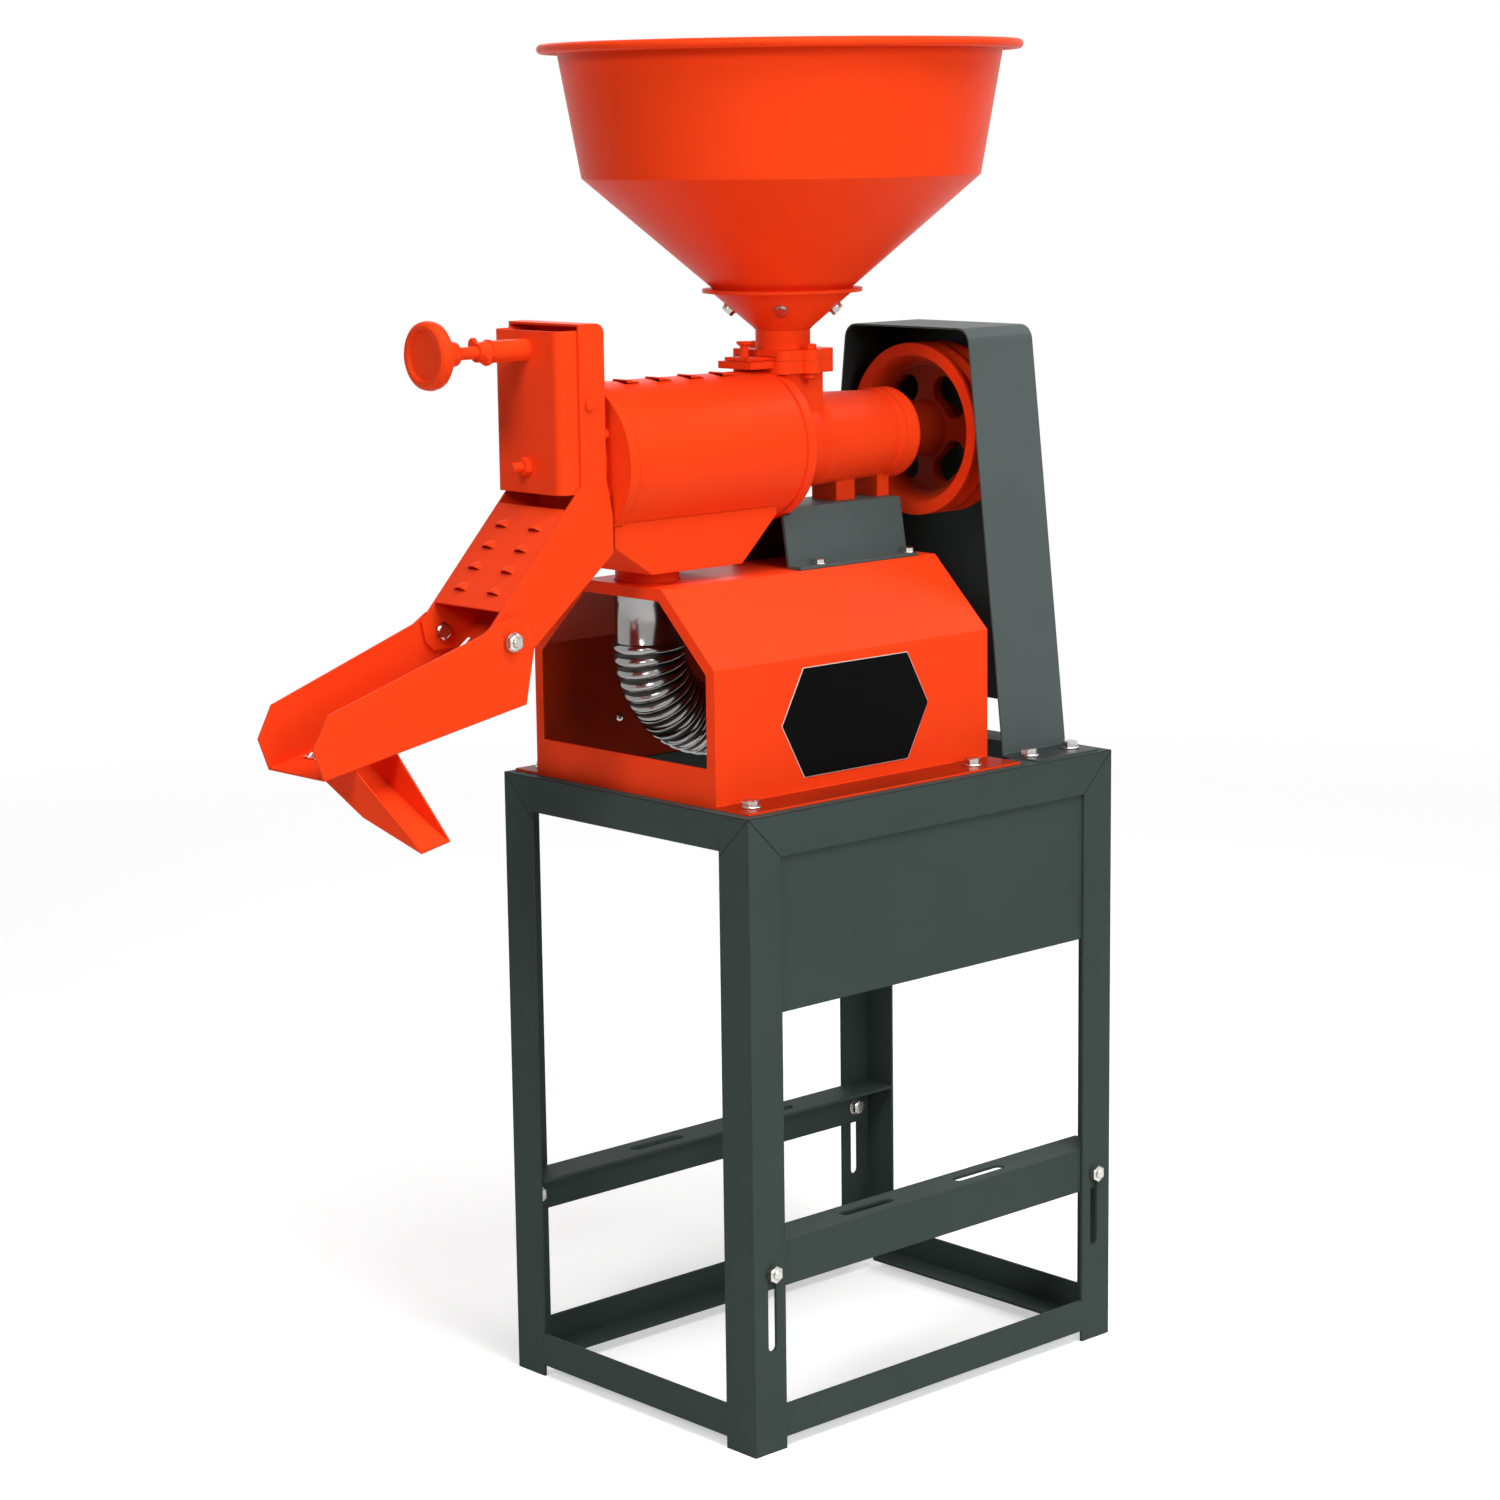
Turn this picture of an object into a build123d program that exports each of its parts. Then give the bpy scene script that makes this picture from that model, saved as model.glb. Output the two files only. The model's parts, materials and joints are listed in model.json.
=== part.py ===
import os
from math import atan2, cos, degrees, hypot, pi, radians, sin, sqrt, tan

from build123d import *

os.makedirs("parts", exist_ok=True)

# Stand
stand_length = 430.0
stand_depth = 305.0
stand_height = 530.0
leg_width = 35.0
stand_sheet = 2.5
side_rail_drop = 30.0
bottom_rail_width = 28.0
bottom_rail_lift = 10.0
skirt_bottom = 367.0
skirt_sheet = 1.5
skirt_gap = 0.5
skirt_top_drop = 6.0

# Motor rails and the leg slots that carry them
rail_height = 38.0
rail_depth = 34.0
rail_bottom = 138.0
rail_bolt_rise = 15.0
rail_bolt_size = 8.0
rail_bolt_inset = 20.0
rail_travel = 62.0
rail_play = 0.3
rail_end_gap = 1.5
motor_slot_length = 60.0
motor_slot_width = 10.0
motor_slot_spacing = 136.0

# General fits
bolt_play = 0.5
running_play = 0.05
free_gap = 0.3
hole_depth = 8.0
long_tail = 3.0
short_tail = 2.0

# Base hood on the stand
machine_offset = 8.0
hood_left = -205.0
hood_right = 110.0
hood_half_width = 112.0
hood_top_half = 50.0
hood_height = 172.0
hood_wall_height = 112.0
hood_sheet = 2.0
hood_lip = 8.0
hood_strip = 32.0
front_margin = 10.0
back_margin = 3.0
deck_bolt_size = 8.0
hood_bolt_left = 20.5
hood_bolt_right = 39.4

# Saddle bracket on the hood
saddle_left = -49.0
saddle_right = 90.0
saddle_height = 50.0
saddle_bottom_half = 36.0
saddle_top_half = 28.0
saddle_foot = 13.0
saddle_sheet = 3.0
saddle_bolt_size = 6.0
saddle_bolt_left = 27.0
saddle_bolt_right = 6.0
saddle_bolt_share = 0.55
saddle_clearance = 1.0

# Belt guard
guard_left = 126.0
guard_right = 205.0
guard_rise = 365.0
guard_bottom_half = 116.0
guard_top_half = 74.5
guard_corner = 12.0
guard_sheet = 1.5
guard_wall_lift = 32.0
guard_foot = 4.0
guard_bolt_inset = 14.0

# Milling chamber, feed casting and bearings
axis_rise = 53.0
drum_right = -52.0
drum_length = 184.0
drum_radius = 62.0
drum_sheet = 1.5
drum_slit_half = 34.0
drum_louvre_count = 4
drum_louvre_rise = 1.5
drum_louvre_width = 18.0
drum_louvre_length = 14.0
drum_louvre_lip = 2.0
drum_louvre_wall = 1.2
drum_slit_margin = 12.0
end_flange_radius = 63.5
end_flange_width = 10.0
screen_bore = 33.0
screen_sheet = 1.2
screen_seat = 4.0
screen_slot_length = 20.0
screen_slot_width = 1.6
screen_slot_rows = 6
screen_slot_spread = 75
screen_slot_step = 30
screen_margin = 8.0
screen_play = 0.1
feed_body_radius = 36.0
feed_body_length = 42.0
tower_length = 48.0
tower_width = 51.0
tower_corner = 4.0
tower_wall = 6.0
feed_offset = 31.5
feed_bore = 20.0
feed_flange_half = 31.0
feed_flange_side = 33.0
feed_flange_corner = 8.0
feed_bolt_offset = 33.0
feed_ear_radius = 8.5
feed_flange_thick = 11.0
feed_flange_rise = 70.0
tongue_length = 24.0
tongue_half = 20.0
tongue_thick = 6.0
housing_radius = 40.0
housing_end_radius = 37.5
housing_length = 89.0
housing_groove = 1.2
housing_collar = 7.0
shoulder_length = 6.0
shoulder_step = 0.6
shoulder_round = 4.0
cover_radius = 39.0
cover_length = 18.0
cover_round = 5.0
bearing_setback = 14.0
bearing_bore = 25.0
bearing_outside = 52.0
bearing_width = 15.0
bearing_ring = 4.5
bearing_shield = 1.2
bearing_end_gap = 1.0
shaft_play = 0.6
foot_half = 15.0
foot_bolt_half = 9.0
foot_tap_depth = 12.0
left_foot_start = 26.0
left_foot_width = 22.0
right_foot_width = 14.0

# Shaft, roller and pulley
shaft_collar_radius = 15.0
shaft_collar_length = 14.0
thread_radius = 9.0
thread_tail = 3.0
roller_radius = 22.0
roller_setback = 10.0
roller_root = 2.0
roller_rib_height = 6.0
roller_rib_width = 6.0
roller_rib_count = 4
roller_rib_gap = 6.0
screw_lead = 40.0
screw_length = 60.0
screw_flight = 5.0
roller_gap = 2.5
roller_nut_length = 12.0
pulley_left = 134.0
pulley_width = 42.0
pulley_radius = 75.0
pulley_rim = 17.0
pulley_rim_face = 10.5
pulley_window_radius = 12.0
pulley_window_step = 13.0
pulley_hub_radius = 22.0
pulley_hub_lead = 12.0
pulley_web = 7.0
pulley_web_step = 2.0
pulley_web_round = 3.0
pulley_windows = 4
groove_depth = 11.0
groove_width = 15.0
groove_pitch = 19.0
groove_flank = 18.0
key_width = 8.0
key_height = 7.0
key_length = 36.0
key_inset = 3.0
pulley_nut_length = 14.0

# Bran hopper and hose
bran_sheet = 1.5
bran_half_width = 40.0
bran_left_drop = 67.0
bran_lift = 11.0
bran_mouth_left = -205.0
bran_mouth_right = -107.0
bran_right_top = -67.0
bran_right_rise = 8.0
bran_wall_drop = 30.0
bran_lap = 2.0
bran_slit_gap = 10.0
spigot_x = -168.0
spigot_offset = 9.0
spigot_radius = 26.5
spigot_drop = 24.0
spigot_play = 1.0
hose_wall = 1.2
hose_gap = 1.0
hose_cuff_length = 48.0
hose_drop = 2.0
hose_bend = 72.0
hose_run = 28.0
hose_pitch = 8.0
hose_ridge = 2.6
hose_end_cuff = 22.0

# Feed hopper and its seat
hopper_sheet = 1.2
hopper_rim_radius = 201.0
hopper_wall_top = 185.0
hopper_crease_radius = 166.0
hopper_wall_height = 106.0
hopper_mouth_radius = 30.0
hopper_cone_slope = 0.8556
hopper_bead = 4.0
hopper_lift = 2.0
gate_width = 48.0
gate_thick = 3.0
gate_play = 0.3
gate_tab_length = 22.5
gate_tab_width = 28.0
gate_lap = 6.0
gate_knob_offset = 44.0
gate_pin_radius = 3.0
gate_neck_radius = 3.6
gate_head_radius = 6.5
gate_neck_height = 9.0
gate_head_height = 13.0
seat_flange_thick = 5.0
seat_tube_height = 24.0
seat_tube_wall = 3.0
seat_wall = 3.0
seat_lip = 6.0
seat_cone_height = 24.0
seat_bead = 1.8
seat_bolt_share = 0.42
nut_standoff = 0.6
hopper_bolt_size = 6.0
feed_bolt_size = 6.0

# Outlet chute, cover and flap
chute_nut = 8.0
chute_sheet = 2.0
chute_half = 43.0
chute_depth = 24.0
chute_corner = 8.0
chute_lap = 2.0
chute_knee_drop = 15.0
chute_neck_top = 10.0
chute_neck_drop = 40.0
chute_floor_drop = 70.0
chute_heel = 26.0
chute_heel_drop = 8.0
chute_sole = 16.0
chute_sole_drop = 15.0
chute_toe = 20.0
chute_toe_rise = 9.0
chute_lip = 16.0
chute_lip_inset = 6.0
chute_top_rise = 112.0
collar_wall = 2.0
collar_reach = 6.7
pin_rise = 49.0
pin_setback = 15.0
pin_radius = 3.0
pin_head = 3.0
knuckle_radius = 6.0
flap_thick = 4.0
flap_half = 34.0
flap_disc_radius = 37.0
flap_neck_inset = 6.0
flap_arm_half = 14.0
flap_arm_rise = 9.0
flap_arm_gap = 2.0
spring_wire = 0.9
spring_turns = 6.0
spring_gap = 4.5
screw_rise = 92.0
cover_setback = 43.0
cover_corner = 8.0
cover_top_rise = 107.0
cover_drop = 21.0
cover_sheet = 2.0
cover_lap = 16.0
boss_radius = 8.7
boss_length = 36.0
stud_radius = 2.5
stud_circle = 41.5
stud_angle = 35.0
louvre_radius = 7.5
louvre_height = 3.6
louvre_sheet = 1.5
louvre_wall = 1.0
louvre_rows = 4
louvre_margin = 8.0
louvre_plate_share = 0.70
louvre_plate_start = 0.14

# Adjusting screw
screw_radius = 5.0
pad_length = 11.7
pad_radius = 7.0
pad_dome = 10.0
spigot_tip = 6.0
lock_washer_thick = 2.0
wing_nut_length = 11.0
knob_setback = 34.0
knob_radius = 27.0
knob_width = 13.0
knob_hub_radius = 9.5
knob_hub_length = 18.0
cover_bolt_size = 8.0
cover_bolt_reach = 17.0
spigot_step = 1.0
wing_turn = 35.0
wing_thick = 4.0
wing_lead = 1.5

# Delivery trough and side chute
pivot_setback = 101.0
pivot_drop = 129.0
pivot_bolt_size = 8.0
trough_slope = 11.1
trough_taper = 3.0
trough_half = 46.0
trough_sheet = 1.5
trough_length = 192.0
trough_depth = 52.7
trough_end_height = 48.0
trough_near = 4.0
trough_bolt_gap = 2.6
trough_washer = 1.5
mesh_near = 116.0
mesh_length = 66.0
mesh_half = 27.0
mesh_wire = 1.2
mesh_pitch = 6.0
mesh_lap = 3.0
mesh_border = 4.0
side_chute_width = 70.0
side_chute_drop = 67.0
side_chute_reach = 80.0
side_chute_tip = 28.0
side_chute_lap = 6.0
side_chute_wall = 13.0
side_chute_gap = 0.5
side_chute_over = 10.0

# Heights and stations that follow from the sizes above
deck = stand_height
centre = machine_offset
hood_top = deck + hood_height
saddle_top = hood_top + saddle_height
axis_z = saddle_top + axis_rise
drum_left = drum_right - drum_length
flange_left = drum_left - end_flange_width
back_plate = flange_left - chute_nut
chute_face = back_plate - chute_sheet
chute_left = chute_face - chute_depth
feed_x = drum_right + feed_offset
feed_body_right = drum_right + end_flange_width + feed_body_length
housing_right = feed_body_right + housing_length
cover_right = housing_right + cover_length
shaft_radius = bearing_bore / 2
bearing_radius = bearing_outside / 2
near_bearing = feed_body_right + bearing_setback
far_bearing = housing_right - bearing_width - bearing_end_gap
roller_right = near_bearing - shaft_collar_length
roller_left = drum_left + roller_setback
spigot_y = centre + spigot_offset
bran_bottom = hood_top + bran_lift
casting_top = axis_z + feed_flange_rise
casting_flange_bottom = casting_top - feed_flange_thick
gate_bottom = casting_top + gate_play
seat_bottom = gate_bottom + gate_thick + gate_play
seat_top = seat_bottom + seat_flange_thick
cone_bottom = seat_top + seat_tube_height
seat_tube_radius = feed_bore + seat_tube_wall
hopper_foot_z = cone_bottom + hopper_lift
hopper_crease_z = hopper_foot_z + (hopper_crease_radius - hopper_mouth_radius) * hopper_cone_slope
hopper_rim_z = hopper_crease_z + hopper_wall_height
collar_end = chute_face - collar_reach
pin_x = chute_face - pin_setback
pin_z = axis_z + pin_rise
screw_z = axis_z + screw_rise
cover_face = chute_face - cover_setback
pivot_x = chute_face - pivot_setback
pivot_z = axis_z - pivot_drop
half_length = stand_length / 2
half_depth = stand_depth / 2


def block(x0, x1, y0, y1, z0, z1):
    return Pos((x0 + x1) / 2, (y0 + y1) / 2, (z0 + z1) / 2) * Box(x1 - x0, y1 - y0, z1 - z0)


def rod_x(radius, x0, x1, y=centre, z=axis_z):
    base = (Align.CENTER, Align.CENTER, Align.MIN)
    return Pos(x0, y, z) * Rot(0, 90, 0) * Cylinder(radius, x1 - x0, align=base)


def rod_y(radius, y0, y1, x, z):
    base = (Align.CENTER, Align.CENTER, Align.MIN)
    return Pos(x, y0, z) * Rot(-90, 0, 0) * Cylinder(radius, y1 - y0, align=base)


def rod_z(radius, z0, z1, x, y):
    base = (Align.CENTER, Align.CENTER, Align.MIN)
    return Pos(x, y, z0) * Cylinder(radius, z1 - z0, align=base)


def flat_face(points):
    # a flat outline, always walked the same way round
    area = 0.0
    for i in range(len(points)):
        a = points[i - 1]
        b = points[i]
        area += a[0] * b[1] - b[0] * a[1]
    ordered = list(points) if area > 0 else list(points)[::-1]
    return Polygon(*ordered, align=None)


def prism_xz(points, y0, y1):
    plane = Plane(origin=(0, y1, 0), x_dir=(1, 0, 0), z_dir=(0, -1, 0))
    return extrude(plane * flat_face(points), y1 - y0)


def prism_yz(points, x0, x1):
    plane = Plane(origin=(x0, 0, 0), x_dir=(0, 1, 0), z_dir=(1, 0, 0))
    return extrude(plane * flat_face(points), x1 - x0)


def prism_xy(points, z0, z1):
    return extrude(Plane.XY.offset(z0) * flat_face(points), z1 - z0)


def spun(points, x, y):
    # a ring or bowl turned about the upright line through x, y from a radius-height outline
    face = Plane.XZ * Polygon(*points, align=None)
    return Pos(x, y, 0) * revolve(face, Axis.Z)


def turned_x(points, y=centre, z=axis_z):
    # a round piece turned about a line along X from an x-radius outline
    face = Plane.XY * Polygon(*points, align=None)
    return Pos(0, y, z) * revolve(face, Axis.X)


def bend_line(points, thickness):
    # outline of a folded sheet: the line itself and the same line moved to its left side
    moved = []
    count = len(points)
    for i in range(count):
        before = points[max(i - 1, 0)]
        here = points[i]
        after = points[min(i + 1, count - 1)]
        first = atan2(here[1] - before[1], here[0] - before[0]) if i > 0 else None
        last = atan2(after[1] - here[1], after[0] - here[0]) if i < count - 1 else None
        first = last if first is None else first
        last = first if last is None else last
        turn = (last - first + pi) % (2 * pi) - pi
        middle = first + turn / 2 + pi / 2
        reach = thickness / cos(turn / 2)
        moved.append((here[0] + reach * cos(middle), here[1] + reach * sin(middle)))
    return list(points) + moved[::-1]


def round_corner(before, corner, after, radius, steps=5):
    # points of an arc that rounds one corner of an outline
    a = atan2(before[1] - corner[1], before[0] - corner[0])
    b = atan2(after[1] - corner[1], after[0] - corner[0])
    turn = (b - a + pi) % (2 * pi) - pi
    reach = radius / sin(abs(turn) / 2)
    middle = a + turn / 2
    cx = corner[0] + reach * cos(middle)
    cy = corner[1] + reach * sin(middle)
    tangent = radius / tan(abs(turn) / 2)
    start = (corner[0] + tangent * cos(a), corner[1] + tangent * sin(a))
    stop = (corner[0] + tangent * cos(b), corner[1] + tangent * sin(b))
    from_angle = atan2(start[1] - cy, start[0] - cx)
    sweep_angle = (atan2(stop[1] - cy, stop[0] - cx) - from_angle + pi) % (2 * pi) - pi
    arc = []
    for i in range(steps + 1):
        angle = from_angle + sweep_angle * i / steps
        arc.append((cx + radius * cos(angle), cy + radius * sin(angle)))
    return arc


def hexagon(across, height):
    return extrude(RegularPolygon(across / 2, 6, major_radius=False), height)


def bolt(size, grip, nut=True, tail=long_tail):
    # bolt with washer and nut; the clamped faces lie at 0 and at -grip
    base = (Align.CENTER, Align.CENTER, Align.MIN)
    washer = 0.15 * size
    nut_height = 0.8 * size if nut else 0.0
    length = grip + nut_height + tail
    solid = Cylinder(1.05 * size, washer, align=base)
    solid += Pos(0, 0, washer) * hexagon(1.6 * size, 0.65 * size)
    solid += Pos(0, 0, -length) * Cylinder(size / 2, length + washer, align=base)
    if nut:
        solid += Pos(0, 0, -grip - nut_height) * hexagon(1.6 * size, nut_height)
    return solid


def slot_z(width, length, x, y, z0, z1):
    # upright hole with round ends, long along X
    straight = length / 2 - width / 2
    hole = block(x - straight, x + straight, y - width / 2, y + width / 2, z0, z1)
    for side in (-1, 1):
        hole += rod_z(width / 2, z0, z1, x + side * straight, y)
    return hole


def leg_slot_heights():
    top = rail_bottom + rail_bolt_rise
    return top - rail_travel, top


def leg(sx, sy):
    corner_x = sx * half_length
    corner_y = sy * half_depth
    top = stand_height - stand_sheet
    face = [
        (corner_x, 0),
        (corner_x - sx * leg_width, 0),
        (corner_x - sx * leg_width, stand_height - leg_width),
        (corner_x - sx * stand_sheet, top),
        (corner_x, top),
    ]
    inner_y = corner_y - sy * stand_sheet
    solid = prism_xz(face, min(corner_y, inner_y), max(corner_y, inner_y))
    xs = sorted((corner_x, corner_x - sx * stand_sheet))
    ys = sorted((corner_y, corner_y - sy * leg_width))
    solid += block(xs[0], xs[1], ys[0], ys[1], 0, top)
    x = corner_x - sx * rail_bolt_inset
    low, high = leg_slot_heights()
    radius = rail_bolt_size / 2 + bolt_play
    hole = block(x - radius, x + radius, -half_depth, half_depth, low, high)
    hole += rod_y(radius, -half_depth, half_depth, x, low)
    hole += rod_y(radius, -half_depth, half_depth, x, high)
    return solid - hole


def deck_bolt_places():
    front = -half_depth + front_margin
    back = half_depth - back_margin
    hood_front = (front + centre - hood_half_width) / 2
    hood_back = (back + centre + hood_half_width) / 2
    guard_front = (front + centre - guard_bottom_half) / 2
    guard_back = (back + centre + guard_bottom_half) / 2
    places = []
    for x in (hood_left + hood_bolt_left, hood_right - hood_bolt_right):
        places.append((x, hood_front, hood_sheet))
        places.append((x, hood_back, hood_sheet))
    for x in (guard_left + guard_bolt_inset, guard_right - guard_bolt_inset):
        places.append((x, guard_front, guard_sheet))
        places.append((x, guard_back, guard_sheet))
    return places


def deck_holes():
    hole = None
    for x, y, _ in deck_bolt_places():
        peg = rod_z(deck_bolt_size / 2 + bolt_play, deck - hole_depth, deck + hole_depth, x, y)
        hole = peg if hole is None else hole + peg
    return hole


def long_top_rail(sy):
    y = sy * half_depth
    w = leg_width
    t = stand_sheet
    h = stand_height
    inside = y - sy * w
    plan = [(-half_length, y), (half_length, y), (half_length - w, inside), (-half_length + w, inside)]
    solid = prism_xy(plan, h - t, h)
    face = [
        (-half_length + t, h - t),
        (-half_length + w, h - w),
        (half_length - w, h - w),
        (half_length - t, h - t),
    ]
    inner = y - sy * t
    return solid + prism_xz(face, min(y, inner), max(y, inner)) - deck_holes()


def side_top_rail(sx):
    x = sx * half_length
    w = leg_width
    t = stand_sheet
    h = stand_height
    plan = [(x, -half_depth), (x - sx * w, -half_depth + w), (x - sx * w, half_depth - w), (x, half_depth)]
    solid = prism_xy(plan, h - t, h)
    xs = sorted((x, x - sx * t))
    solid += block(xs[0], xs[1], -half_depth + w, half_depth - w, h - side_rail_drop, h - t)
    return solid - deck_holes()


def long_bottom_rail(sy):
    y = sy * half_depth
    z = bottom_rail_lift
    ends = half_length - leg_width
    outer = sorted((y, y - sy * stand_sheet))
    flat = sorted((y, y - sy * bottom_rail_width))
    solid = block(-ends, ends, outer[0], outer[1], z, z + bottom_rail_width)
    return solid + block(-ends, ends, flat[0], flat[1], z, z + stand_sheet)


def side_bottom_rail(sx):
    x = sx * half_length
    z = bottom_rail_lift
    ends = half_depth - leg_width
    outer = sorted((x, x - sx * stand_sheet))
    flat = sorted((x, x - sx * bottom_rail_width))
    solid = block(outer[0], outer[1], -ends, ends, z, z + bottom_rail_width)
    return solid + block(flat[0], flat[1], -ends, ends, z, z + stand_sheet)


def skirt_panel():
    y = -half_depth + stand_sheet
    ends = half_length - stand_sheet - skirt_gap
    return block(-ends, ends, y, y + skirt_sheet, skirt_bottom, deck - stand_sheet - skirt_top_drop)


def motor_rail(sy):
    face = half_depth - stand_sheet - rail_play
    ends = half_length - stand_sheet - rail_end_gap
    top = rail_bottom + rail_height
    solid = block(-ends, ends, -face, -face + stand_sheet, rail_bottom, top)
    solid += block(-ends, ends, -face, -face + rail_depth, top - stand_sheet, top)
    y = -face + rail_depth / 2
    for side in (-1, 1):
        x = side * motor_slot_spacing / 2
        solid -= slot_z(motor_slot_width, motor_slot_length, x, y, top - hole_depth, top + hole_depth)
        peg = side * (half_length - rail_bolt_inset)
        solid -= rod_y(rail_bolt_size / 2, -half_depth, 0, peg, rail_bottom + rail_bolt_rise)
    return solid if sy < 0 else mirror(solid, Plane.XZ)


def rail_bolts(sy):
    grip = stand_sheet * 2 + rail_play * 2
    group = []
    for side in (-1, 1):
        x = side * (half_length - rail_bolt_inset)
        peg = bolt(rail_bolt_size, grip, tail=short_tail)
        # the nut sits outside the leg, the head behind the rail
        placed = Pos(x, -half_depth + grip - rail_play, rail_bottom + rail_bolt_rise) * Rot(-90, 0, 0) * peg
        group.append(placed if sy < 0 else mirror(placed, Plane.XZ))
    return Compound(children=group)


def hood_line():
    t = hood_sheet
    front = -half_depth + front_margin
    back = half_depth - back_margin
    low = centre - hood_half_width + t
    high = centre + hood_half_width - t
    knee = deck + hood_wall_height - t * 0.4
    top = hood_top - t
    return [
        (front, deck),
        (low, deck),
        (low, knee),
        (centre - hood_top_half + t * 0.4, top),
        (centre + hood_top_half - t * 0.4, top),
        (high, knee),
        (high, deck),
        (back, deck),
    ]


def saddle_bolt_places():
    y = saddle_bottom_half + saddle_foot * saddle_bolt_share
    places = []
    for x in (saddle_left + saddle_bolt_left, saddle_right - saddle_bolt_right):
        for side in (-1, 1):
            places.append((x, centre + side * y))
    return places


def base_hood():
    line = hood_line()
    solid = prism_yz(bend_line(line, hood_sheet), hood_left, hood_right)
    t = hood_sheet
    for x0 in (hood_left, hood_right - t):
        solid += prism_yz(bend_line(line[1:-1], -hood_lip), x0, x0 + t)
        solid += block(x0, x0 + t, line[1][0], line[-2][0], deck, deck + hood_strip)
    low = hood_top - hole_depth
    high = hood_top + hole_depth
    solid -= rod_z(spigot_radius + spigot_play, low, high, spigot_x, spigot_y)
    for x, y in saddle_bolt_places():
        solid -= rod_z(saddle_bolt_size / 2 + bolt_play, low, high, x, y)
    return solid - deck_holes()


def deck_bolts():
    group = []
    for x, y, sheet in deck_bolt_places():
        group.append(Pos(x, y, deck + sheet) * bolt(deck_bolt_size, sheet + stand_sheet))
    return Compound(children=group)


def foot_spans():
    # where the casting's two feet start and end along the shaft
    left = (left_foot_start, left_foot_start + left_foot_width)
    right = (housing_right - right_foot_width, housing_right)
    return [left, right]


def foot_bolt_places():
    places = []
    for start, end in foot_spans():
        for side in (-1, 1):
            places.append(((start + end) / 2, centre + side * foot_bolt_half))
    return places


def saddle_bracket():
    t = saddle_sheet
    low = saddle_bottom_half - t
    high = saddle_top_half - t
    line = [
        (centre - saddle_bottom_half - saddle_foot, hood_top),
        (centre - low, hood_top),
        (centre - high, saddle_top - t),
        (centre + high, saddle_top - t),
        (centre + low, hood_top),
        (centre + saddle_bottom_half + saddle_foot, hood_top),
    ]
    solid = prism_yz(bend_line(line, t), saddle_left, saddle_right)
    radius = saddle_bolt_size / 2 + bolt_play
    for x, y in saddle_bolt_places():
        solid -= rod_z(radius, hood_top - hole_depth, hood_top + hole_depth, x, y)
    for x, y in foot_bolt_places():
        solid -= rod_z(radius, saddle_top - hole_depth, saddle_top + hole_depth, x, y)
    # notch that clears the casting's round flange
    clear = saddle_clearance
    end = drum_right + end_flange_width + clear
    return solid - rod_x(end_flange_radius + clear, saddle_left - clear, end)


def saddle_bolts():
    group = []
    for x, y in saddle_bolt_places():
        peg = bolt(saddle_bolt_size, saddle_sheet + hood_sheet)
        group.append(Pos(x, y, hood_top + saddle_sheet) * peg)
    for x, y in foot_bolt_places():
        # these come up from inside the saddle into the casting's feet
        peg = bolt(saddle_bolt_size, saddle_sheet + foot_tap_depth, nut=False, tail=0.0)
        group.append(Pos(x, y, saddle_top - saddle_sheet) * Rot(180, 0, 0) * peg)
    return Compound(children=group)


def belt_guard():
    t = guard_sheet
    front = -half_depth + front_margin - guard_foot
    back = half_depth - back_margin
    low = (centre - guard_bottom_half + t, deck)
    high = (centre + guard_bottom_half - t, deck)
    top = deck + guard_rise - t
    left = (centre - guard_top_half + t, top)
    right = (centre + guard_top_half - t, top)
    roof = round_corner(low, left, right, guard_corner) + round_corner(left, right, high, guard_corner)
    line = [(front, deck), low] + roof + [high, (back, deck)]
    solid = prism_yz(bend_line(line, t), guard_left, guard_right)
    wall = prism_yz([low] + roof + [high], guard_right - t, guard_right)
    wall -= block(guard_left, guard_right + 1, -half_depth, half_depth, deck, deck + guard_wall_lift)
    return solid + wall - deck_holes()


def eared_plate(z0, z1):
    # square feed flange with rounded corners and an ear at the front and back
    plate = RectangleRounded(2 * feed_flange_half, 2 * feed_flange_side, feed_flange_corner)
    solid = Pos(feed_x, centre, z0) * extrude(plate, z1 - z0)
    for x, y in feed_bolt_places():
        solid += rod_z(feed_ear_radius, z0, z1, x, y)
    return solid


def housing_outline():
    # shoulder, gentle taper, groove and end collar of the bearing housing
    groove = housing_right - 2 * housing_groove - housing_collar
    return [
        (feed_body_right - shoulder_length, 0),
        (feed_body_right - shoulder_length, feed_body_radius),
        (feed_body_right, housing_radius - shoulder_step),
        (feed_body_right + shoulder_round, housing_radius),
        (groove - housing_groove, housing_end_radius),
        (groove, housing_end_radius - housing_groove),
        (groove + housing_groove, housing_end_radius - housing_groove),
        (groove + 2 * housing_groove, housing_end_radius + housing_groove),
        (housing_right, housing_end_radius + housing_groove),
        (housing_right, 0),
    ]


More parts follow.
